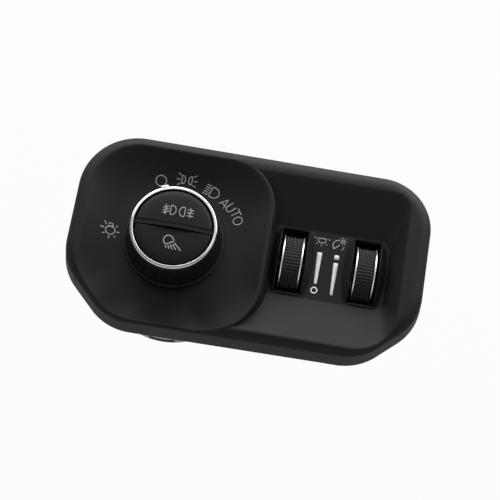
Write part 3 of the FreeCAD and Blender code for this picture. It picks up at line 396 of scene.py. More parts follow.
# %% Flat surfaces between outlines
def fill(outlines, keep, extra=()):
    """Triangles between closed outlines and extra points. One stays if keep is true at its middle."""
    points, edges = [], []
    for outline in outlines:
        first = len(points)
        points += [Vector(p) for p in outline.tolist()]
        edges += [(first + i, first + (i + 1) % len(outline)) for i in range(len(outline))]
    points += [Vector(p) for p in np.asarray(extra).tolist()]
    flat, _, faces, *_ = geometry.delaunay_2d_cdt(points, edges, [], 0, 1e-5)
    flat = np.array([tuple(p) for p in flat])
    faces = np.array([face for face in faces if len(face) == 3])
    middle = flat[faces].mean(1)
    faces = faces[keep(middle)]
    a, b, c = flat[faces[:, 0]], flat[faces[:, 1]], flat[faces[:, 2]]
    turned = (b[:, 0] - a[:, 0]) * (c[:, 1] - a[:, 1]) - (b[:, 1] - a[:, 1]) * (c[:, 0] - a[:, 0])
    faces[turned < 0] = faces[turned < 0][:, ::-1]
    return flat, faces[np.abs(turned) > 1e-5]


def within(outline, points):
    """True for flat points inside a closed outline, by counting the sides to their right."""
    start, end = outline, np.roll(outline, -1, 0)
    x, z = points[:, :1], points[:, 1:]
    across = (start[:, 1] > z) != (end[:, 1] > z)
    rise = np.where(across, end[:, 1] - start[:, 1], 1.0)
    at = start[:, 0] + (z - start[:, 1]) * (end[:, 0] - start[:, 0]) / rise
    return np.count_nonzero(across & (at > x), axis=1) % 2 == 1


def clear_of(outline, points, gap):
    """True for points at least a gap away from an outline's points."""
    return np.sum((points[:, None] - outline) ** 2, -1).min(1) > gap * gap


def inner_spots(outline, gap, step, *rows):
    """A square grid of points, and further rows of them, inside an outline and clear of it."""
    low, high = outline.min(0), outline.max(0)
    x, z = np.meshgrid(np.arange(low[0], high[0], step), np.arange(low[1], high[1], step))
    spots = np.concatenate([np.stack([x.ravel(), z.ravel()], -1), *rows])
    return spots[within(outline, spots) & clear_of(outline, spots, gap)]


# %% Bezel: face and side
FACE_EDGE_INSET, RIM_ROUND = 0.3, 0.25
FACE_EDGE = FRONT_EDGE - OUTSIDE_NORMAL * FACE_EDGE_INSET


def on_face(points):
    """True for flat points that lie in neither well."""
    return ~within(BOWL_FACE, points) & ~within(WELL_FACE, points)


def make_face(skin):
    """The face between the rolled edge, the dish's crest and the well's mouth."""
    rows = []
    for inset in (0.55, 0.9, 1.4, 2.0, 2.8, 3.8, 4.9, 6.4, 9.0):
        every = 1 if inset < 3 else 2
        row = (FRONT_EDGE - OUTSIDE_NORMAL * inset)[::every]
        row = row[on_face(row)]
        rows.append(row[clear_of(BOWL_FACE, row, 0.3) & clear_of(WELL_FACE, row, 0.3)])

    def keep(middle):
        return within(FACE_EDGE, middle) & on_face(middle)

    flat, faces = fill([FACE_EDGE, BOWL_FACE, WELL_FACE], keep, np.concatenate(rows))
    skin.add(lift(flat, face_depth(flat)), faces)


def make_side(skin):
    """The rest of the roll, the leaning side wall and the narrow rear rim."""
    first = np.arccos(1 - FACE_EDGE_INSET / ROLL_WIDE)
    rows = []
    for turn in np.linspace(first, 0, 7):
        inset = ROLL_WIDE * (1 - np.cos(turn))
        depth = CREST + ROLL_DEEP * (1 - np.sin(turn))
        lean = DRAFT * (depth - CREST) / (SEAT - CREST) * (1 - inset / FACE_EDGE_INSET)
        rows.append(lift(FRONT_EDGE + OUTSIDE_NORMAL * (lean - inset), depth))
    for depth in np.linspace(CREST + ROLL_DEEP, SEAT - RIM_ROUND, 8)[1:]:
        lean = DRAFT * (depth - CREST) / (SEAT - CREST)
        rows.append(lift(FRONT_EDGE + OUTSIDE_NORMAL * lean, depth))
    rows += [lift(OUTSIDE - OUTSIDE_NORMAL * inset, SEAT) for inset in (RIM_ROUND, SHELL)]
    skin.grid(rows, wrap=True)


# %% [markdown]
# Beside each slot stands a cheek, a low flank with an arched crest that hides the side of the wheel. Along
# the slot its height is a circle's arc. Away from the slot it falls to the floor, and its foot is a lens.
# The slot's edges are rounded, and each round catches the light as a thin line. Along the bottom end runs a
# low bead, half an ellipse high, that fades out at its two ends.

# %% Bezel: slots and cheeks
SLOT_HALF_WIDTH = 5.9
SLOT_HALF_LENGTH = 15.2
CHEEK_HEIGHT = 5.2
CHEEK_WIDTH = 3.4
ROUND = 0.6
LIP_WIDE, LIP_HIGH, LIP_FADE = 1.1, 0.6, 8


def cheek_height(along):
    """Height of the crest at a share of the half length, from the chord of a circle."""
    radius = (SLOT_HALF_LENGTH ** 2 + CHEEK_HEIGHT ** 2) / (2 * CHEEK_HEIGHT)
    return np.sqrt(radius ** 2 - (along * SLOT_HALF_LENGTH) ** 2) - (radius - CHEEK_HEIGHT)


def cheek_foot(along):
    """Width of the foot: a lens, as wide at its ends as the round of the slot's edge."""
    return ROUND + CHEEK_WIDTH * np.sqrt(np.clip(1 - along ** 2, 0, 1))


def cheek_fall(share):
    """Height that is left at a share of the way down to the foot: nearly a straight fall, a little hollow."""
    left = 1 - share
    return left ** 0.9 * (0.75 + 0.25 * left ** 1.25)


along_slot = np.sin(np.linspace(-np.pi / 2, np.pi / 2, 49))


def slot_hole(centre):
    """The outline left open in the floor: the slot's ends and the feet of its two cheeks."""
    foot = SLOT_HALF_WIDTH + cheek_foot(along_slot)
    z = WHEEL_Z + along_slot * (SLOT_HALF_LENGTH + ROUND)
    right = np.stack([centre + foot, z], -1)
    left = np.stack([centre - foot, z], -1)[::-1]
    ends = np.linspace(-1, 1, 15)[:, None] * [foot[0], 0]
    top = [centre, z[-1]] - ends[1:-1]
    bottom = [centre, z[0] - LIP_WIDE + ROUND] + ends
    return np.concatenate([right, top, left, bottom])


def make_slot(skin, centre):
    """One slot: its cheeks, its rounded edge and its four walls."""
    z_edge = WHEEL_Z + along_slot * (SLOT_HALF_LENGTH + ROUND)
    z_slot = WHEEL_Z + along_slot * SLOT_HALF_LENGTH
    high = cheek_height(along_slot)
    foot = cheek_foot(along_slot)
    for sign in (-1, 1):
        rows = []
        for share in np.linspace(1, 0, 12):
            x = centre + sign * (SLOT_HALF_WIDTH + blend(ROUND, foot, share))
            rows.append((x, FLOOR_DEPTH - high * cheek_fall(share), z_edge))
        for turn in np.radians([18, 36, 54, 72, 90]):
            x = centre + sign * (SLOT_HALF_WIDTH + ROUND * (1 - np.sin(turn)))
            y = FLOOR_DEPTH - high + ROUND * (1 - np.cos(turn))
            rows.append((x, y, blend(z_slot, z_edge, np.cos(turn))))
        for share in (0.33, 0.66, 1.0):
            rows.append((x, blend(FLOOR_DEPTH - high + ROUND, FLOOR_DEPTH + SHELL, share), z_slot))
        skin.grid([np.stack(np.broadcast_arrays(*row), -1) for row in rows], flip=sign < 0)
    across = np.linspace(-1, 1, 15)
    turn = np.linspace(0, np.pi, 9)
    bead = list(zip(LIP_WIDE * (1 + np.cos(turn)) / 2, -LIP_HIGH * np.sin(turn)))
    edge = [(ROUND, 0), (ROUND * 0.3, ROUND * 0.3), (0, ROUND)]
    for sign, profile in ((1, edge), (-1, bead)):
        rows = []
        for out, down in profile + [(0, SHELL)]:
            half = SLOT_HALF_WIDTH + min(out, ROUND)
            depth = FLOOR_DEPTH + (down if down > 0 else down * (1 - across ** LIP_FADE))
            z = WHEEL_Z + sign * (SLOT_HALF_LENGTH + out)
            rows.append(np.stack(np.broadcast_arrays(centre + across * half, depth, z), -1))
        skin.grid(rows, flip=sign > 0)


def make_floor(skin):
    """The flat floor between the foot of the walls and the slots."""
    holes = [slot_hole(WHEELS[side]["centre"][0]) for side in WHEELS]
    spots = inner_spots(WELL_FOOT, 0.5, 2.0, well_ring(1.0, -1.0)[::2], well_ring(1.0, -2.0)[::3])
    for hole in holes:
        spots = spots[~within(hole, spots) & clear_of(hole, spots, 0.8)]

    def keep(middle):
        return within(WELL_FOOT, middle) & ~within(holes[0], middle) & ~within(holes[1], middle)

    flat, faces = fill([WELL_FOOT, *holes], keep, spots)
    skin.add(lift(flat, FLOOR_DEPTH), faces)


print("slots:", len(WHEELS), "of", 2 * SLOT_HALF_WIDTH, "by", 2 * SLOT_HALF_LENGTH, "mm")

# %% [markdown]
# The back of the moulding, with its bosses, collar and clip towers, is right as it was packed. Its faces
# are copied into the new mesh: a ray towards the front finds the ones that nothing hides, and those belong
# to the surfaces made above, so they are left out.

# %% Bezel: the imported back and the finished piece
def packed_faces(node, drop):
    """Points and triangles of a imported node. drop says from middle, normal and cover which are left out."""
    source = bmesh.new()
    source.from_mesh(frame["nodes"][node].data)
    bmesh.ops.remove_doubles(source, verts=source.verts, dist=1e-6)
    bmesh.ops.triangulate(source, faces=source.faces)
    source.verts.index_update()
    tree = BVHTree.FromBMesh(source)
    forward = Vector((0, -1, 0))
    kept = []
    for face in source.faces:
        middle = face.calc_center_median()
        covered = tree.ray_cast(middle + forward * 1e-4, forward)[0] is not None
        if not drop(np.array(middle) / MM, face.normal, covered):
            kept.append([vertex.index for vertex in face.verts])
    points = np.array([vertex.co[:] for vertex in source.verts]) / MM
    source.free()
    used, faces = np.unique(kept, return_inverse=True)
    return points[used], faces.reshape(-1, 3)


# How close to a new surface a packed face may lie to be taken for it
NEAR = 0.05


def is_front(middle, normal, covered):
    """True for the bezel's faces that the new surfaces stand for."""
    x, y, z = middle
    across = min(abs(x - wheel["centre"][0]) for wheel in WHEELS.values())
    in_slot = (across < SLOT_HALF_WIDTH + NEAR and abs(z - WHEEL_Z) < SLOT_HALF_LENGTH + NEAR
               and y < FLOOR_DEPTH + SHELL + 2 * NEAR)
    hole_wall = abs(np.hypot(x - KNOB[0], z - KNOB[1]) - KNOB_HOLE) < 2 * NEAR
    rear_rim = abs(y - SEAT) < 0.01 and normal.y > 0.9
    return not covered and normal.y < 0.02 or in_slot or hole_wall or rear_rim


skin = Skin()
make_dish(skin)
make_well(skin)
make_face(skin)
make_side(skin)
make_floor(skin)
for side in WHEELS:
    make_slot(skin, WHEELS[side]["centre"][0])
front_faces = len(skin.faces)
back_points, back_triangles = packed_faces("bezel", is_front)
skin.add(back_points, back_triangles)
settle(skin.mesh("bezel_moulding", sharp=38), "housing", "bezel_plastic", "bezel")
print("bezel:", front_faces, "faces in front,", len(back_triangles), "behind")

# %% [markdown]
# The ring, the skirt and the wheels' bands are turned parts: a closed profile carried round an axis. The
# plated ones are crowned: flat in the middle and round at the edges. The ring's face leans outwards too, so
# it mirrors the light above at its top and the dark below at its bottom, with a light line at each edge.

# %% Turned pieces
def revolve(skin, profile, turn, centre, axis):
    """Adds a closed profile of radius and depth, carried round an axis. Both may vary with the turn."""
    radius, along = profile[..., 0], profile[..., 1]
    if profile.ndim == 2:
        radius, along = radius[:, None], along[:, None]
    across, along, up = np.broadcast_arrays(radius * np.cos(turn), along, radius * np.sin(turn))
    rows = np.stack([across, along, up] if axis == "Y" else [along, across, up], -1) + centre
    skin.grid(np.concatenate([rows, rows[:1]]), wrap=True)


def whole_turn(count):
    """Evenly spaced angles of one turn."""
    return np.linspace(0, 2 * np.pi, count, endpoint=False)


def crowned(half, crown, deep, lean=0.0):
    """A bar's section, across it and down: a slanted line plus a sixth power, on straight sides."""
    share = np.cos(np.linspace(0, np.pi, 23))
    top = crown * share ** 6 + lean * (1 + share)
    section = np.stack([half * share, top - top.min()], -1)
    sides = [(-half, deep / 2), (-half, deep), (0, deep), (half, deep), (half, deep / 2)]
    return np.concatenate([section, sides])


RING_CROWN, RING_LEAN = 0.25, 0.16
section = crowned(RING_BAND / 2, RING_CROWN, RING_DEEP, RING_LEAN)
ring_profile = np.stack([RING_OUTER - RING_BAND / 2 + section[:, 0], section[:, 1]], -1)
skin = Skin()
revolve(skin, ring_profile, whole_turn(256), RING_CENTRE, "Y")
ring = settle(skin.mesh("knob_bright_ring", closed=True), "knob", "bright_trim", "knob_ring")
print("ring:", len(ring.data.polygons), "faces")

# %% [markdown]
# The skirt is a cone with 88 flutes. Each flute is a flat land and a V groove. The groove's depth is a
# function of two parameters: its share of the pitch, which draws the V, and the depth along the cone, which
# fades it in and out between the smooth band under the ring and the lip at the foot.

# %% Knob: fluted skirt
FLUTES = 88
FLUTE_DEPTH = 0.5
FLUTE_START, FLUTE_END = 1.6, 14.6
RAMP_IN, RAMP_OUT = 0.35, 0.5
SKIRT_ROUND, FOOT_ROUND = 0.3, 0.5
LIP_START, LIP_STEP = 14.75, 0.3
skirt_low, skirt_high = box_mm("knob_skirt")
SKIRT_OUTER = (skirt_high[0] - skirt_low[0]) / 2
SKIRT_DEEP = skirt_high[1] - skirt_low[1]
SLEEVE, SLEEVE_FRONT = 19.4, 7.8
shares = np.array([0, 0.22, 0.40, 0.45, 0.50, 0.61, 0.72, 0.84, 0.95])
groove = np.interp(shares, [0.40, 0.45, 0.50, 0.72, 0.95, 1.0], [0, 0.05, 0.16, 1, 0.08, 0])
flute_turn = ((np.arange(FLUTES)[:, None] + shares) * 2 * np.pi / FLUTES).ravel()


def cone_radius(depth):
    """Radius of the cone. The lip at the foot stands a small step outside it."""
    step = LIP_STEP * np.where(depth > LIP_START, 0, depth / SKIRT_DEEP)
    return RING_OUTER + (SKIRT_OUTER - RING_OUTER) * depth / SKIRT_DEEP - step


def flute_strength(depth):
    """0 on the smooth band and the lip, 1 between them, with a short ramp at each end."""
    return np.clip((depth - FLUTE_START) / RAMP_IN, 0, 1) * np.clip((FLUTE_END - depth) / RAMP_OUT, 0, 1)


depths = np.concatenate([[0.8], FLUTE_START + np.array([0, 0.12, 0.24, 0.36]), np.linspace(3, 13.6, 8),
                         FLUTE_END - np.array([0.5, 0.33, 0.16, 0]), LIP_START + np.array([0, 0.06])])
outer = np.stack([cone_radius(depths), depths], -1)
skirt_profile = np.concatenate([
    [(RING_OUTER - RING_BAND, 0)],
    arc_points((cone_radius(SKIRT_ROUND) - SKIRT_ROUND, SKIRT_ROUND), SKIRT_ROUND, -90, 0, 5), outer,
    arc_points((SKIRT_OUTER - FOOT_ROUND, SKIRT_DEEP - FOOT_ROUND), FOOT_ROUND, -12, 90, 6),
    [(SLEEVE, SKIRT_DEEP), (SLEEVE, SLEEVE_FRONT), (RING_OUTER - RING_BAND, SLEEVE_FRONT)]])
on_cone = skirt_profile[:, 0] > cone_radius(skirt_profile[:, 1]) - 0.05
strength = flute_strength(skirt_profile[:, 1]) * on_cone
cut = FLUTE_DEPTH * strength[:, None] * np.tile(groove, FLUTES)
fluted = np.stack([skirt_profile[:, :1] - cut, np.broadcast_to(skirt_profile[:, 1:], cut.shape)], -1)
skin = Skin()
revolve(skin, fluted, flute_turn, (KNOB[0], skirt_low[1], KNOB[1]), "Y")
skirt = settle(skin.mesh("knob_fluted_skirt", sharp=35, closed=True), "knob", "knob_plastic", "knob_skirt")
print("skirt:", len(skirt.data.polygons), "faces,", FLUTES, "flutes")

# %% [markdown]
# The two press buttons are halves of one shallow dome. A button's outline is half a circle with small
# corner rounds. Its shoulder is a quarter of an ellipse, wider than it is deep, and along the bar it is
# narrow, so its width is a function of the place too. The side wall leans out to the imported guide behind.

# %% Knob: press buttons
BUTTON_RADIUS = 17.2
BUTTON_DEEP = 2.2
BAR_HALF = 1.2
DOME, DOME_POWER = 1.0, 4.0
SHOULDER_WIDE, SHOULDER_DEEP = 2.2, 0.7
BAR_SHOULDER = 0.3
FLANGE_GROW, BAR_GROW = 0.2, 0.05
CORNER_REACH = 0.8


def dome_depth(flat):
    """Depth of the dome: it falls with a power of the distance from the axis, flat at first."""
    away = np.linalg.norm(flat - KNOB, axis=-1) / BUTTON_RADIUS
    return RING_FACE - DOME * (1 - away ** DOME_POWER)


def half_disc(radius, low, corner, step=0.4):
    """The part of a disc above a level, with its two corners rounded."""
    height = low + corner
    across = np.sqrt((radius - corner) ** 2 - height ** 2)
    lean = np.degrees(np.arctan2(height, across))
    count = int(radius * np.pi / step)
    chord = np.linspace(-across, across, int(2 * across / step))[1:-1]
    return np.concatenate([arc_points((across, height), corner, -90, lean, 9)[:-1],
                           arc_points((0, 0), radius, lean, 180 - lean, count),
                           arc_points((-across, height), corner, 180 - lean, 270, 9)[1:],
                           np.stack([chord, np.full(len(chord), low)], -1)])


def make_cap(skin, outline, depth_of, rear, step):
    """A cap over an outline: side wall, elliptical shoulder and a front whose depth is a function."""
    normal = outward(outline)
    away = np.linalg.norm(outline - KNOB, axis=1)[:, None]
    round_side = np.clip((away - BUTTON_RADIUS + CORNER_REACH) / CORNER_REACH, 0, 1)
    wide = BAR_SHOULDER + (SHOULDER_WIDE - BAR_SHOULDER) * round_side
    deep = (BAR_SHOULDER + (SHOULDER_DEEP - BAR_SHOULDER) * round_side)[:, 0]
    grow = BAR_GROW + (FLANGE_GROW - BAR_GROW) * round_side
    rows = [lift(outline + normal * grow, rear)]
    for turn in np.radians(np.linspace(0, 90, 9)):
        ring = outline - normal * wide * (1 - np.cos(turn))
        rows.append(lift(ring, depth_of(ring) + deep * (1 - np.sin(turn))))
    skin.grid(rows, wrap=True)
    edge = outline - normal * wide
    flat, faces = fill([edge], lambda middle: within(edge, middle), inner_spots(edge, step * 0.6, step))
    skin.add(lift(flat, depth_of(flat)), faces)


def make_button(which, sign):
    """A button's new cap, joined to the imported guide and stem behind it."""
    outline = half_disc(BUTTON_RADIUS, BAR_HALF, 0.5) * (1, sign) + KNOB
    skin = Skin()
    rear = RING_FACE + BUTTON_DEEP
    make_cap(skin, outline[::sign], dome_depth, rear, 1.1)
    points, faces = packed_faces(which + "_button", lambda middle, normal, hidden: middle[1] < rear - 0.01)
    skin.add(points, faces)
    piece = skin.mesh(which + "_key_cap", sharp=40)
    return settle(piece, which + "_key", "key_plastic", which + "_button")


buttons = [make_button("fog", 1), make_button("cargo", -1)]
print("buttons:", [len(button.data.polygons) for button in buttons], "faces")

# %% [markdown]
# The pointer is a small white tab, lit from behind. It starts on the outer third of the ring and stands out
# from its rim, so it is drawn anew: an outline with round corners, thickened by a Solidify. The same function
# makes the printed signs later on.

# %% Knob: pointer
POINTER_TURN = 21.5
POINTER_WIDE, POINTER_REACH, POINTER_THICK = 3.6, 0.8, 1.6
POINTER_BEHIND = 0.12


def slab(name, outlines, keep, depth_of, thickness):
    """Filled outlines laid at a depth and thickened towards the dashboard."""
    flat, faces = fill(outlines, keep)
    skin = Skin()
    skin.add(lift(flat, depth_of(flat)), faces)
    piece = skin.mesh(name, weld=0.0005)
    solidify = piece.modifiers.new("slab", "SOLIDIFY")
    solidify.thickness, solidify.offset = thickness * MM, -1
    return piece


def make_pointer():
    """The tab, whose face lies just behind the ring's face."""
    half, foot, tip = POINTER_WIDE / 2, RING_OUTER - RING_BAND / 3, RING_OUTER + POINTER_REACH
    corners = [(-half, foot), (half, foot), (half, tip), (-half, tip)]
    lean = np.radians(POINTER_TURN)
    turn = np.array([[np.cos(lean), np.sin(lean)], [-np.sin(lean), np.cos(lean)]])
    outline = rounded(corners, [0.05, 0.05, 0.6, 0.6], 0.2) @ turn + KNOB
    piece = slab("knob_white_pointer", [outline], lambda middle: within(outline, middle),
                 lambda flat: RING_FACE + POINTER_BEHIND, POINTER_THICK)
    return settle(piece, "knob", "white_plastic", "knob_pointer")


print("pointer:", len(make_pointer().data.polygons), "faces")

# %% [markdown]
# A thumbwheel's tread is knurled: five columns of small pyramids. Two triangle waves, one across the tread
# and one round it, give the pyramid's height where the lower of the two is taken. The tips are cut a little
# flat, as rubber is. A narrow groove parts the tread from the bright bands, which stand slightly proud.

# %% Thumbwheels
TEETH, COLUMNS = 54, 5
TOOTH_HEIGHT, TOOTH_CUT, TREAD_THICK = 0.75, 0.8, 1.5
TREAD_SUNK, TREAD_GAP = 0.2, 0.35
BAND_WIDE, BAND_HIGH, BAND_RIM, BAND_CROWN = 0.7, 3.0, 0.5, 0.2
FLANK_PROUD, FLANK_SUNK = 0.04, 0.1
WAVE = np.array([0, 0.28, 0.56, 0.84, 1.0, 1.0, 0.84, 0.56, 0.28])
WAVE_AT = np.array([0, 0.14, 0.28, 0.42, 0.48, 0.52, 0.58, 0.72, 0.86])


def make_tread(side):
    """The tread as a closed band: a knurled outside and a plain inside."""
    wheel = WHEELS[side]
    half = wheel["half"] - BAND_WIDE - TREAD_GAP
    top = wheel["radius"] - TREAD_SUNK
    across = ((np.arange(COLUMNS)[:, None] + WAVE_AT) / COLUMNS).ravel()
    wave_x = np.append(np.tile(WAVE, COLUMNS), 0)
    x = (2 * np.append(across, 1) - 1) * half
    turn = ((np.arange(TEETH)[:, None] + WAVE_AT + 0.5) * 2 * np.pi / TEETH).ravel()
    wave_turn = np.tile(WAVE, TEETH)
    height = np.minimum(np.minimum(wave_x[:, None], wave_turn[None]), TOOTH_CUT)
    outside = np.stack([top - TOOTH_HEIGHT * (1 - height), np.broadcast_to(x[:, None], height.shape)], -1)
    inside = np.full((2, len(turn), 2), wheel["radius"] - TREAD_THICK)
    inside[0, :, 1], inside[1, :, 1] = half, -half
    skin = Skin()
    revolve(skin, np.concatenate([outside, inside]), turn, wheel["centre"], "X")
    piece = skin.mesh(side + "_knurled_tread", sharp=50, closed=True)
    return settle(piece, side + "_wheel", "tread_rubber", side + "_wheel_tread")


def make_bands(side):
    """The two bright bands, with crowned rims."""
    wheel = WHEELS[side]
    skin = Skin()
    section = crowned(BAND_WIDE / 2, BAND_CROWN, BAND_HIGH)
    for sign in (-1, 1):
        profile = np.stack([wheel["radius"] - section[:, 1],
                            (wheel["half"] - BAND_WIDE / 2) * sign + section[:, 0]], -1)
        revolve(skin, profile, whole_turn(192), wheel["centre"], "X")
    piece = skin.mesh(side + "_bright_bands", closed=True)
    return settle(piece, side + "_wheel", "bright_trim", side + "_wheel_bands", finish="satin_trim")


def make_flanks(side):
    """The wheel's black flanks: thin rings over the bands' sides, which leave a bright rim."""
    wheel = WHEELS[side]
    skin = Skin()
    for sign in (-1, 1):
        inner, outer = sign * (wheel["half"] - FLANK_SUNK), sign * (wheel["half"] + FLANK_PROUD)
        low, high = wheel["radius"] - BAND_HIGH, wheel["radius"] - BAND_RIM
        corners = [(high, inner), (high, outer), (low, outer), (low, inner)]
        profile = rounded(corners, [0.02, 0.03, 0.03, 0.02], 0.1)
        revolve(skin, profile, whole_turn(128), wheel["centre"], "X")
    piece = skin.mesh(side + "_wheel_flanks", weld=0.0005, closed=True)
    return settle(piece, side + "_wheel", "knob_plastic")


for side in WHEELS:
    made = [make(side) for make in (make_tread, make_bands, make_flanks)]
    print(side, "wheel:", [len(piece.data.polygons) for piece in made], "faces")

# %% [markdown]
# The signs are printed: thin strokes of one width with round ends. Each stroke is an outline, and all the
# outlines of a sign are filled together, so that crossing strokes become one flat shape. A sign is drawn
# upright in its own millimetres, turned about the knob if need be, and laid on the surface below it.

# %% Printed signs: strokes
STROKE = 0.42
PRINT_RISE = 0.02
PRINT_THICK = 0.06


def line_shape(points, width=STROKE):
    """An open stroke with round ends: the line moved to both sides by half a width, and two caps."""
    line = np.asarray(points, float)
    along = unit(np.gradient(line, axis=0))
    side = np.stack([-along[:, 1], along[:, 0]], -1) * width / 2
    left, right = line + side, line - side
    caps = []
    for end, corner in ((line[-1], left[-1]), (line[0], right[0])):
        start = np.degrees(np.arctan2(*(corner - end)[::-1]))
        caps.append(arc_points(end, width / 2, start, start - 180, 7)[1:-1])
    return np.concatenate([left, caps[0], right[::-1], caps[1]]), None


def loop_shape(points, width=STROKE):
    """A closed stroke: an outer and an inner outline."""
    line = np.asarray(points, float)
    normal = outward(line)
    return line + normal * width / 2, line - normal * width / 2


def circle_points(centre, radius, count=36):
    """A closed circle: an arc that stops one step short."""
    return arc_points(centre, radius, 0, 360 - 360 / count, count)


def lamp_points(wide, high, level=0.6, corner=0.5):
    """A lamp seen from its side, like the letter D: a flat side at 0, level edges, then half an ellipse."""
    front = arc_points((level, 0), (wide - level, high / 2), -90, 90, 26)
    back = np.concatenate([arc_points((corner, high / 2 - corner), corner, 90, 180, 6),
                           arc_points((corner, corner - high / 2), corner, 180, 270, 6)])
    return np.concatenate([front, back])


def moved(shapes, place=(0, 0), turn=0, mirror=False):
    """Shapes turned clockwise by degrees and moved, after a mirror from left to right if asked."""
    cos, sin = np.cos(np.radians(turn)), np.sin(np.radians(turn))
    matrix = np.array([[cos, -sin], [sin, cos]])
    flip = np.array([-1 if mirror else 1, 1])

    def move(part):
        """The outline times the mirror and the turn, plus the place."""
        return None if part is None else (part * flip) @ matrix + place

    return [tuple(move(part) for part in shape) for shape in shapes]


def make_print(name, body, shapes, depth_of, finish="printed_line"):
    """The shapes of a sign as one thin slab on a surface."""
    shapes = moved(shapes, KNOB)
    outlines = [part for shape in shapes for part in shape if part is not None]

    def keep(middle):
        inked = np.zeros(len(middle), bool)
        for outer, hole in shapes:
            inked |= within(outer, middle) & (True if hole is None else ~within(hole, middle))
        return inked

    piece = slab(name, outlines, keep, lambda flat: depth_of(flat) - PRINT_RISE, PRINT_THICK)
    return settle(piece, body, "white_plastic", finish=finish)


# %% [markdown]
# The surfaces under the signs are the ones that shaped the bezel: the dish's depth follows from how far a
# point is between the crest and the floor, along its own spoke.

# %% Printed signs: dish
def dish_depth(flat):
    """Depth of the dish under flat points."""
    spoke = flat - KNOB
    turn = np.degrees(np.arctan2(spoke[:, 1], spoke[:, 0]))
    rim = BOWL - KNOB
    rim_turn = np.degrees(np.arctan2(rim[:, 1], rim[:, 0]))
    order = np.argsort(rim_turn)
    crest_at = np.interp(turn, rim_turn[order], np.linalg.norm(rim, axis=1)[order], period=360)
    level = np.interp(turn, rim_turn[order], face_depth(BOWL)[order], period=360)
    share = np.clip((crest_at - np.linalg.norm(spoke, axis=1)) / (crest_at - BOWL_FLOOR), 0, 1)
    return blend(level, CREST, share) + bowl_depth(share)


def floor_depth(flat):
    """Depth of the level floor."""
    return np.full(len(flat), FLOOR_DEPTH)


def straight(*ends, width=STROKE):
    """Straight strokes, each from its two ends."""
    return [line_shape(np.linspace(a, b, 6), width) for a, b in ends]


def fan(first, last, count=5, width=STROKE):
    """Straight strokes spread evenly from the first pair of ends to the last."""
    first, last = np.array(first), np.array(last)
    return straight(*[blend(first, last, share) for share in np.linspace(0, 1, count)], width=width)


off_sign = [loop_shape(circle_points((-11.0, 28.2), 2.45))]
side_rays = straight(((-3.0, 1.85), (-4.15, 2.45)), ((-3.3, -0.1), (-4.65, -0.05)),
                     ((-2.95, -1.95), (-4.2, -2.55)))
side_lamp = moved([loop_shape(lamp_points(1.6, 3.6, 0.4, 0.35))], (-2.35, 0))
parking_sign = side_lamp + side_rays + moved(side_lamp + side_rays, mirror=True)
low_beam_sign = moved([loop_shape(lamp_points(4.1, 4.8, 1.2))], (12.4, 27.0), 19)
low_beam_sign += fan([(12.4, 29.6), (10.6, 30.05)], [(11.0, 25.4), (8.6, 26.1)])
bulb_base = rounded([(-1.15, 3.35), (0.75, 3.3), (0.85, 1.8), (-1.15, 1.7)],
                    [0.3, 0.3, 0.05, 0.05], 0.3)[:-3]
bulb = [loop_shape(circle_points((0, 0), (2.1, 1.95))), line_shape(bulb_base)]
bulb += straight(((-2.25, 2.4), (-3.05, 3.5)), ((-3.0, 0.55), (-4.5, 0.75)), ((-2.3, -1.75), (-3.2, -2.2)),
                 ((-0.05, -2.8), (-0.15, -4.0)), ((2.15, -2.35), (2.75, -3.0)), ((2.95, -0.4), (4.2, -0.3)),
                 ((2.25, 1.95), (2.8, 2.7)))
letter_a = straight(((-1.65, -2.1), (0, 2.1)), ((0, 2.1), (1.65, -2.1)), ((-1.0, -0.8), (1.0, -0.8)))
letter_u = [line_shape(np.concatenate([[(-1.4, 2.1)], arc_points((0, -0.7), 1.4, 180, 360), [(1.4, 2.1)]]))]
letter_t = straight(((-1.5, 2.1), (1.5, 2.1)), ((0, 2.1), (0, -2.1)))
letter_o = [loop_shape(circle_points((0, 0), (1.75, 2.1)))]
dish_signs = off_sign + moved(parking_sign, (0.67, 30.45)) + low_beam_sign + moved(bulb, (-29.45, 0.3))
for letter, place, turn in ((letter_a, (19.6, 22.6), 42.0), (letter_u, (22.7, 20.6), 49.0),
                            (letter_t, (25.4, 18.2), 56.0), (letter_o, (27.0, 14.9), 62.8)):
    dish_signs += moved(letter, place, turn)
make_print("dish_signs", "housing", dish_signs, dish_depth)

# %% [markdown]
# The floor between the wheels carries two bars that narrow towards the dim end, and a sign above each: a
# roof lamp and a dimmer. The buttons carry the fog lamps' sign and the work lamp's.

# %% Printed signs: floor and buttons
def bar_shape(centre, top, bottom, wide, narrow):
    """A bar that tapers downwards."""
    corners = [(centre - wide / 2, top), (centre + wide / 2, top), (centre + narrow / 2, bottom),
               (centre - narrow / 2, bottom)]
    return rounded(corners, [0.25] * 4, 0.4), None


LEFT_BAR, RIGHT_BAR = 66.5, 74.45
lamp_shade = rounded([(-1.9, 1.1), (1.9, 1.1), (1.5, -1.0), (-1.5, -1.0)], [0.2, 0.2, 1.2, 1.2], 0.25)
roof_lamp = [loop_shape(lamp_shade, 0.34)]
roof_lamp += straight(((-2.5, 1.0), (-3.7, 1.3)), ((2.5, 1.0), (3.7, 1.0)), ((-1.9, -1.2), (-2.6, -1.9)),
                      ((1.9, -1.2), (2.6, -1.9)), ((0, -1.8), (0, -2.7)), width=0.26)
SUN = np.array([1.75, 2.3])
dimmer = [line_shape(arc_points((0, 0), 2.6, 95, 222, 22), 0.4),
          line_shape(arc_points((0, 0), 2.6, -48, -8, 9), 0.4),
          line_shape(np.linspace((-1.9, -1.8), (0.3, 0.1), 5), 0.45),
          loop_shape(circle_points(SUN, 0.7), 0.42)]
for ray in np.radians(range(0, 360, 45)):
    way = np.array([np.cos(ray), np.sin(ray)])
    dimmer += straight((way * 1.25 + SUN, way * 1.95 + SUN), width=0.24)
floor_signs = moved(roof_lamp, (66.7, 13.2)) + moved(dimmer, (74.5, 12.2))
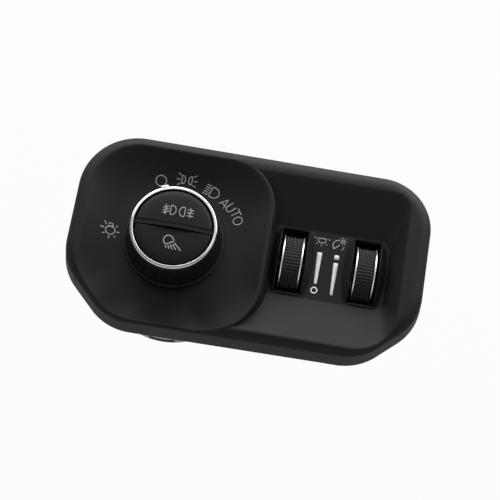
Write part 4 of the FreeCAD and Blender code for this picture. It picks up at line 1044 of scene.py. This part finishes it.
make_print("floor_signs", "housing", floor_signs, floor_depth)
floor_bars = [bar_shape(LEFT_BAR, 7.4, -7.9, 2.3, 1.35), bar_shape(RIGHT_BAR, 3.6, -12.0, 2.15, 1.15),
              loop_shape(circle_points((66.4, -11.0), 1.35), 0.62),
              (rounded([(73.3, 7.4), (75.6, 7.4), (75.6, 5.2), (73.3, 5.2)], [0.55] * 4, 0.3), None)]
make_print("floor_bars", "housing", floor_bars, floor_depth, "printed_bar")

THIN = 0.32
wave_line = np.stack([0.25 * np.sin(np.linspace(0, 4 * np.pi, 25)), np.linspace(-2.25, 2.25, 25)], -1)
fog_lamp = moved([loop_shape(lamp_points(2.42, 4.45), THIN)], (-3.2, 0))
wave = [line_shape(wave_line, THIN)]
fog_sign = fog_lamp + moved(fog_lamp, mirror=True) + moved(wave, (-5.4, 0)) + moved(wave, (5.7, 0))
fog_sign += fan([(-4.0, 1.65), (-6.5, 0.65)], [(-4.0, -0.85), (-6.5, -1.85)], 3, THIN)
fog_sign += fan([(4.3, 1.25), (7.0, 1.25)], [(4.3, -1.55), (7.0, -1.45)], 3, THIN)
make_print("fog_sign", "fog_key", moved(fog_sign, (0.61, 7.35)), dome_depth)
work_lamp = moved([loop_shape(lamp_points(3.6, 4.3, 1.5))], (-0.31, -8.05), -119)
work_lamp += straight(((-1.8, -9.75), (-1.6, -10.5)), ((-0.75, -9.4), (-0.2, -10.65)),
                      ((0.25, -8.95), (1.2, -10.7)), ((1.2, -8.5), (2.9, -10.65)),
                      ((2.05, -7.9), (4.95, -10.65)))
make_print("work_lamp_sign", "cargo_key", work_lamp, dome_depth)
print("signs printed:", len(dish_signs + floor_signs + floor_bars + fog_sign + work_lamp), "strokes")

# %% [markdown]
# A finish is a material with its own nodes. Sums and products of masks are easier to read as plain
# expressions, so a small class wraps a socket and turns + and * into Math nodes. Every pattern is read from
# Object coordinates, which are metres in the part's own frame.

# %% Shader maths
class Wire:
    """A socket whose sums and products are Math nodes."""

    def __init__(self, finish, socket):
        self.finish, self.socket = finish, socket

    def math(self, operation, other):
        """A Math node of this socket and another value."""
        return self.finish.node("Math", {"operation": operation}, {0: self, 1: other})

    def __add__(self, other):
        return self.math("ADD", other)

    def __mul__(self, other):
        return self.math("MULTIPLY", other)

    __radd__, __rmul__ = __add__, __mul__


class Finish:
    """A material whose nodes are added one call at a time."""

    def __init__(self, name):
        self.material = bpy.data.materials.new(name)
        self.material.use_nodes = True
        self.tree = self.material.node_tree
        self.shader = self.tree.nodes["Principled BSDF"]

    def node(self, kind, settings=None, inputs=None, output=0):
        """A node of one type, its settings set first, then its sockets given values or links."""
        made = self.tree.nodes.new("ShaderNode" + kind)
        for name, value in (settings or {}).items():
            setattr(made, name, value)
        for name, value in (inputs or {}).items():
            self.give(made.inputs[name], value)
        return Wire(self, made.outputs[output])

    def give(self, socket, value):
        """Links a wire to a socket, or sets the value on it."""
        if isinstance(value, Wire):
            self.tree.links.new(value.socket, socket)
        else:
            socket.default_value = value

    def set(self, **inputs):
        """Values or links for the Principled shader, named with _ for a space."""
        for name, value in inputs.items():
            self.give(self.shader.inputs[name.replace("_", " ")], value)
        return self

    def place(self):
        """Object coordinates, in metres."""
        return self.node("TexCoord", output="Object")

    def noise(self, size, detail=2.0, roughness=0.5):
        """Noise whose grains are about a size across, in metres."""
        return self.node("TexNoise", None, {"Vector": self.place(), "Scale": 1 / size, "Detail": detail,
                                            "Roughness": roughness})

    def between(self, factor, first, second):
        """A colour between two, by a factor."""
        return self.node("Mix", {"data_type": "RGBA"}, {0: factor, 6: first, 7: second}, output=2)

    def bump(self, height, distance):
        """Small relief from a height of 0 to 1, as deep as a distance in metres."""
        return self.set(Normal=self.node("Bump", None, {"Height": height, "Distance": distance}))


def plastic(name, dark, light, roughness, grain=0.00035, depth=0.00002, level=0.5):
    """Moulded plastic: a fine etched grain, faint shade changes and a little variation in gloss."""
    finish = Finish(name)
    cloud = finish.noise(0.03, 3)
    fine = finish.noise(grain, 4, 0.6)
    finish.set(Base_Color=finish.between(cloud, (*dark, 1), (*light, 1)),
               Roughness=cloud * 0.08 + fine * 0.10 + (roughness - 0.09), Specular_IOR_Level=level)
    return finish.bump(fine, depth).material


def metal(name, colour, roughness, brushed=0.0):
    """Metal with fine brush marks and a soft change of gloss."""
    finish = Finish(name)
    cloud = finish.noise(0.004, 3)
    finish.set(Base_Color=(*colour, 1), Metallic=1.0, Roughness=cloud * 0.06 + (roughness - 0.03))
    if brushed:
        finish.bump(finish.noise(0.0002, 2), brushed)
    return finish.material


FINISHES = {
    "bezel_plastic": plastic("soft_black", (0.0046, 0.0045, 0.0040), (0.0060, 0.0058, 0.0051), 0.6,
                             level=0.25),
    "key_plastic": plastic("key_black", (0.0042, 0.0041, 0.0036), (0.0052, 0.0050, 0.0045), 0.55,
                           level=0.2),
    "knob_plastic": plastic("satin_black", (0.0110, 0.0107, 0.0095), (0.0140, 0.0136, 0.0121), 0.36,
                            level=0.4),
    "tread_rubber": plastic("tread_black", (0.008, 0.0078, 0.007), (0.012, 0.0117, 0.0105), 0.5, level=0.4),
    "housing_plastic": plastic("housing_grey", (0.33, 0.33, 0.32), (0.38, 0.38, 0.37), 0.5),
    "cover_plastic": plastic("cover_black", (0.010,) * 3, (0.014,) * 3, 0.7, level=0.1),
    "printed_line": plastic("grey_ink", (0.38, 0.38, 0.36), (0.43, 0.43, 0.41), 0.6, level=0.2),
    "printed_bar": plastic("white_ink", (0.74, 0.74, 0.72), (0.80, 0.80, 0.78), 0.6, level=0.2),
    "inner_plastic": plastic("inner_grey", (0.05,) * 3, (0.07,) * 3, 0.5),
    "natural_plastic": plastic("natural_white", (0.55, 0.54, 0.50), (0.62, 0.61, 0.57), 0.45),
    "white_plastic": plastic("pointer_white", (0.75,) * 3, (0.82,) * 3, 0.4),
    "circuit_board": plastic("board_green", (0.01, 0.05, 0.02), (0.015, 0.07, 0.03), 0.35),
    "component_black": plastic("component", (0.01,) * 3, (0.02,) * 3, 0.4),
    "lamp_white": plastic("lamp", (0.7, 0.65, 0.4), (0.8, 0.75, 0.5), 0.3),
    "clear_guide": plastic("clear", (0.6,) * 3, (0.7,) * 3, 0.15),
    "bright_trim": metal("satin_chrome", (0.76, 0.76, 0.75), 0.15),
    "satin_trim": metal("satin_aluminium", (0.91, 0.91, 0.90), 0.36),
    "contact_metal": metal("tinned_contact", (0.75, 0.68, 0.5), 0.3, 0.00001),
    "spring_steel": metal("spring_steel", (0.5, 0.5, 0.5), 0.35, 0.00001),
    "screw_steel": metal("zinc_screw", (0.6, 0.6, 0.58), 0.35, 0.00001),
}
print("finishes:", len(FINISHES))

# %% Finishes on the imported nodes
slot_of = {part["node"]: part["material_slot"] for part in frame["record"]["subparts"]}
for name, piece in frame["nodes"].items():
    piece.data.materials.clear()
    piece.data.materials.append(FINISHES[slot_of[name]])
for piece, finish in PIECES:
    piece.data.materials.append(FINISHES[finish])
print("finished:", len(frame["nodes"]), "packed nodes and", len(PIECES), "new pieces")

# %% [markdown]
# The photograph was taken from a little below the face, with the switch turned by ten degrees in the
# picture. The camera stands where the knob's ring, the wheels and the outline all fall in their places. Its
# focal length is known in pixels of the frame, and the sensor's width turns it into millimetres.

# %% Camera
SENSOR, FOCAL_PIXELS, FRAME_PIXELS = 36, 1400, 500
ROLL, TILT, PAN = -9.854, -19.341, -0.838


def turned(axis, degrees):
    """The matrix of a turn about one axis."""
    return np.array(Matrix.Rotation(np.radians(degrees), 3, axis))


looking = np.array([[1, 0, 0], [0, 0, 1], [0, -1, 0]])
to_camera = turned("Z", ROLL) @ looking @ turned("X", TILT) @ turned("Z", PAN)
ring_in_camera = np.array([-33.83, 10.25, -618.7])
camera_place = RING_CENTRE - to_camera.T @ ring_in_camera
camera_data = bpy.data.cameras.new("camera")
camera_data.sensor_width = SENSOR
camera_data.lens = SENSOR * FOCAL_PIXELS / FRAME_PIXELS
camera_data.clip_end = 10
camera = bpy.data.objects.new("camera", camera_data)
camera_turn = Matrix(to_camera.T.tolist()).to_quaternion()
camera.matrix_world = Matrix.LocRotScale(Vector(camera_place * MM), camera_turn, None)
bpy.context.scene.collection.objects.link(camera)
bpy.context.scene.camera = camera
print("camera at", camera_place.round(1))

# %% [markdown]
# The background is a white sweep: a wall behind the switch that curves into a floor below it. To the camera
# it is plain white, in the chrome it shows as a paler grey, and it still takes the switch's soft shadow. Seen
# from behind it lets the camera look through.

# %% Sweep
SEEN_WHITE, MIRRORED_WHITE = 0.95, 0.4


def sweep_mesh():
    """A floor, a quarter circle and a wall, carried along X."""
    curve = arc_points((150, -250), 200, -90, 0, 16)
    profile = np.concatenate([[(-1500, -450)], curve, [(350, 1200)]])
    skin = Skin()
    skin.grid([np.insert(profile, 0, x, axis=1) for x in (-1600, 1600)], flip=True)
    return skin.mesh("white_sweep")


sweep = sweep_mesh()
white = Finish("sweep_white")
white.set(Base_Color=(0.4, 0.4, 0.4, 1), Roughness=0.8)
path = white.node("LightPath", output="Is Camera Ray")
glossy = white.node("LightPath", output="Is Glossy Ray")
through = white.node("LightPath", output="Is Transmission Ray")
shown = (path * SEEN_WHITE).math("MAXIMUM", glossy * MIRRORED_WHITE).math("MAXIMUM", through * SEEN_WHITE)
glow = white.node("Emission", None, {"Color": (1, 1, 1, 1), "Strength": 1.0})
lit = white.node("MixShader", None, {0: shown, 1: Wire(white, white.shader.outputs[0]), 2: glow})
clear = white.node("BsdfTransparent")
behind = white.node("NewGeometry", output="Backfacing")
both = white.node("MixShader", None, {0: behind, 1: lit, 2: clear})
white.tree.links.new(both.socket, white.tree.nodes["Material Output"].inputs["Surface"])
sweep.data.materials.append(white.material)
print("sweep:", len(sweep.data.polygons), "faces")

# %% [markdown]
# Four large soft lamps light the face: one above, one at each side, and a wide panel in front. Their light is
# a little warm, as the photograph's is. The world adds a low even light, and is white to the camera alone.

# %% Lamps and world
WARM = (1.0, 0.975, 0.92)
WORLD_LIGHT = 0.25


def softbox(name, place, width, height, power):
    """A rectangular lamp that faces the switch."""
    data = bpy.data.lights.new(name, "AREA")
    data.shape, data.size, data.size_y, data.energy = "RECTANGLE", width, height, power
    data.color = WARM
    lamp = bpy.data.objects.new(name, data)
    lamp.location = place
    lamp.rotation_euler = (-Vector(place)).to_track_quat("-Z", "Y").to_euler()
    bpy.context.scene.collection.objects.link(lamp)


softbox("left_softbox", (-0.45, -0.25, 0.48), 0.6, 0.5, 2.4)
softbox("right_softbox", (0.50, -0.25, 0.50), 0.6, 0.5, 3.2)
softbox("top_softbox", (0.05, -0.18, 0.60), 0.9, 0.5, 5.8)
softbox("front_panel", (0.05, -0.85, 0.45), 1.3, 0.8, 2.0)
world = bpy.data.worlds.new("studio")
bpy.context.scene.world = world
world.use_nodes = True
nodes, links = world.node_tree.nodes, world.node_tree.links
sky = nodes["Background"]
sky.inputs["Color"].default_value = (1, 1, 1, 1)
light_path = nodes.new("ShaderNodeLightPath")
level = nodes.new("ShaderNodeMapRange")
links.new(light_path.outputs["Is Camera Ray"], level.inputs["Value"])
level.inputs["To Min"].default_value = WORLD_LIGHT
level.inputs["To Max"].default_value = 1.0
links.new(level.outputs["Result"], sky.inputs["Strength"])
bpy.context.scene.view_settings.view_transform = "Standard"
print("lamps:", len(bpy.data.lights), "and the world at", WORLD_LIGHT)
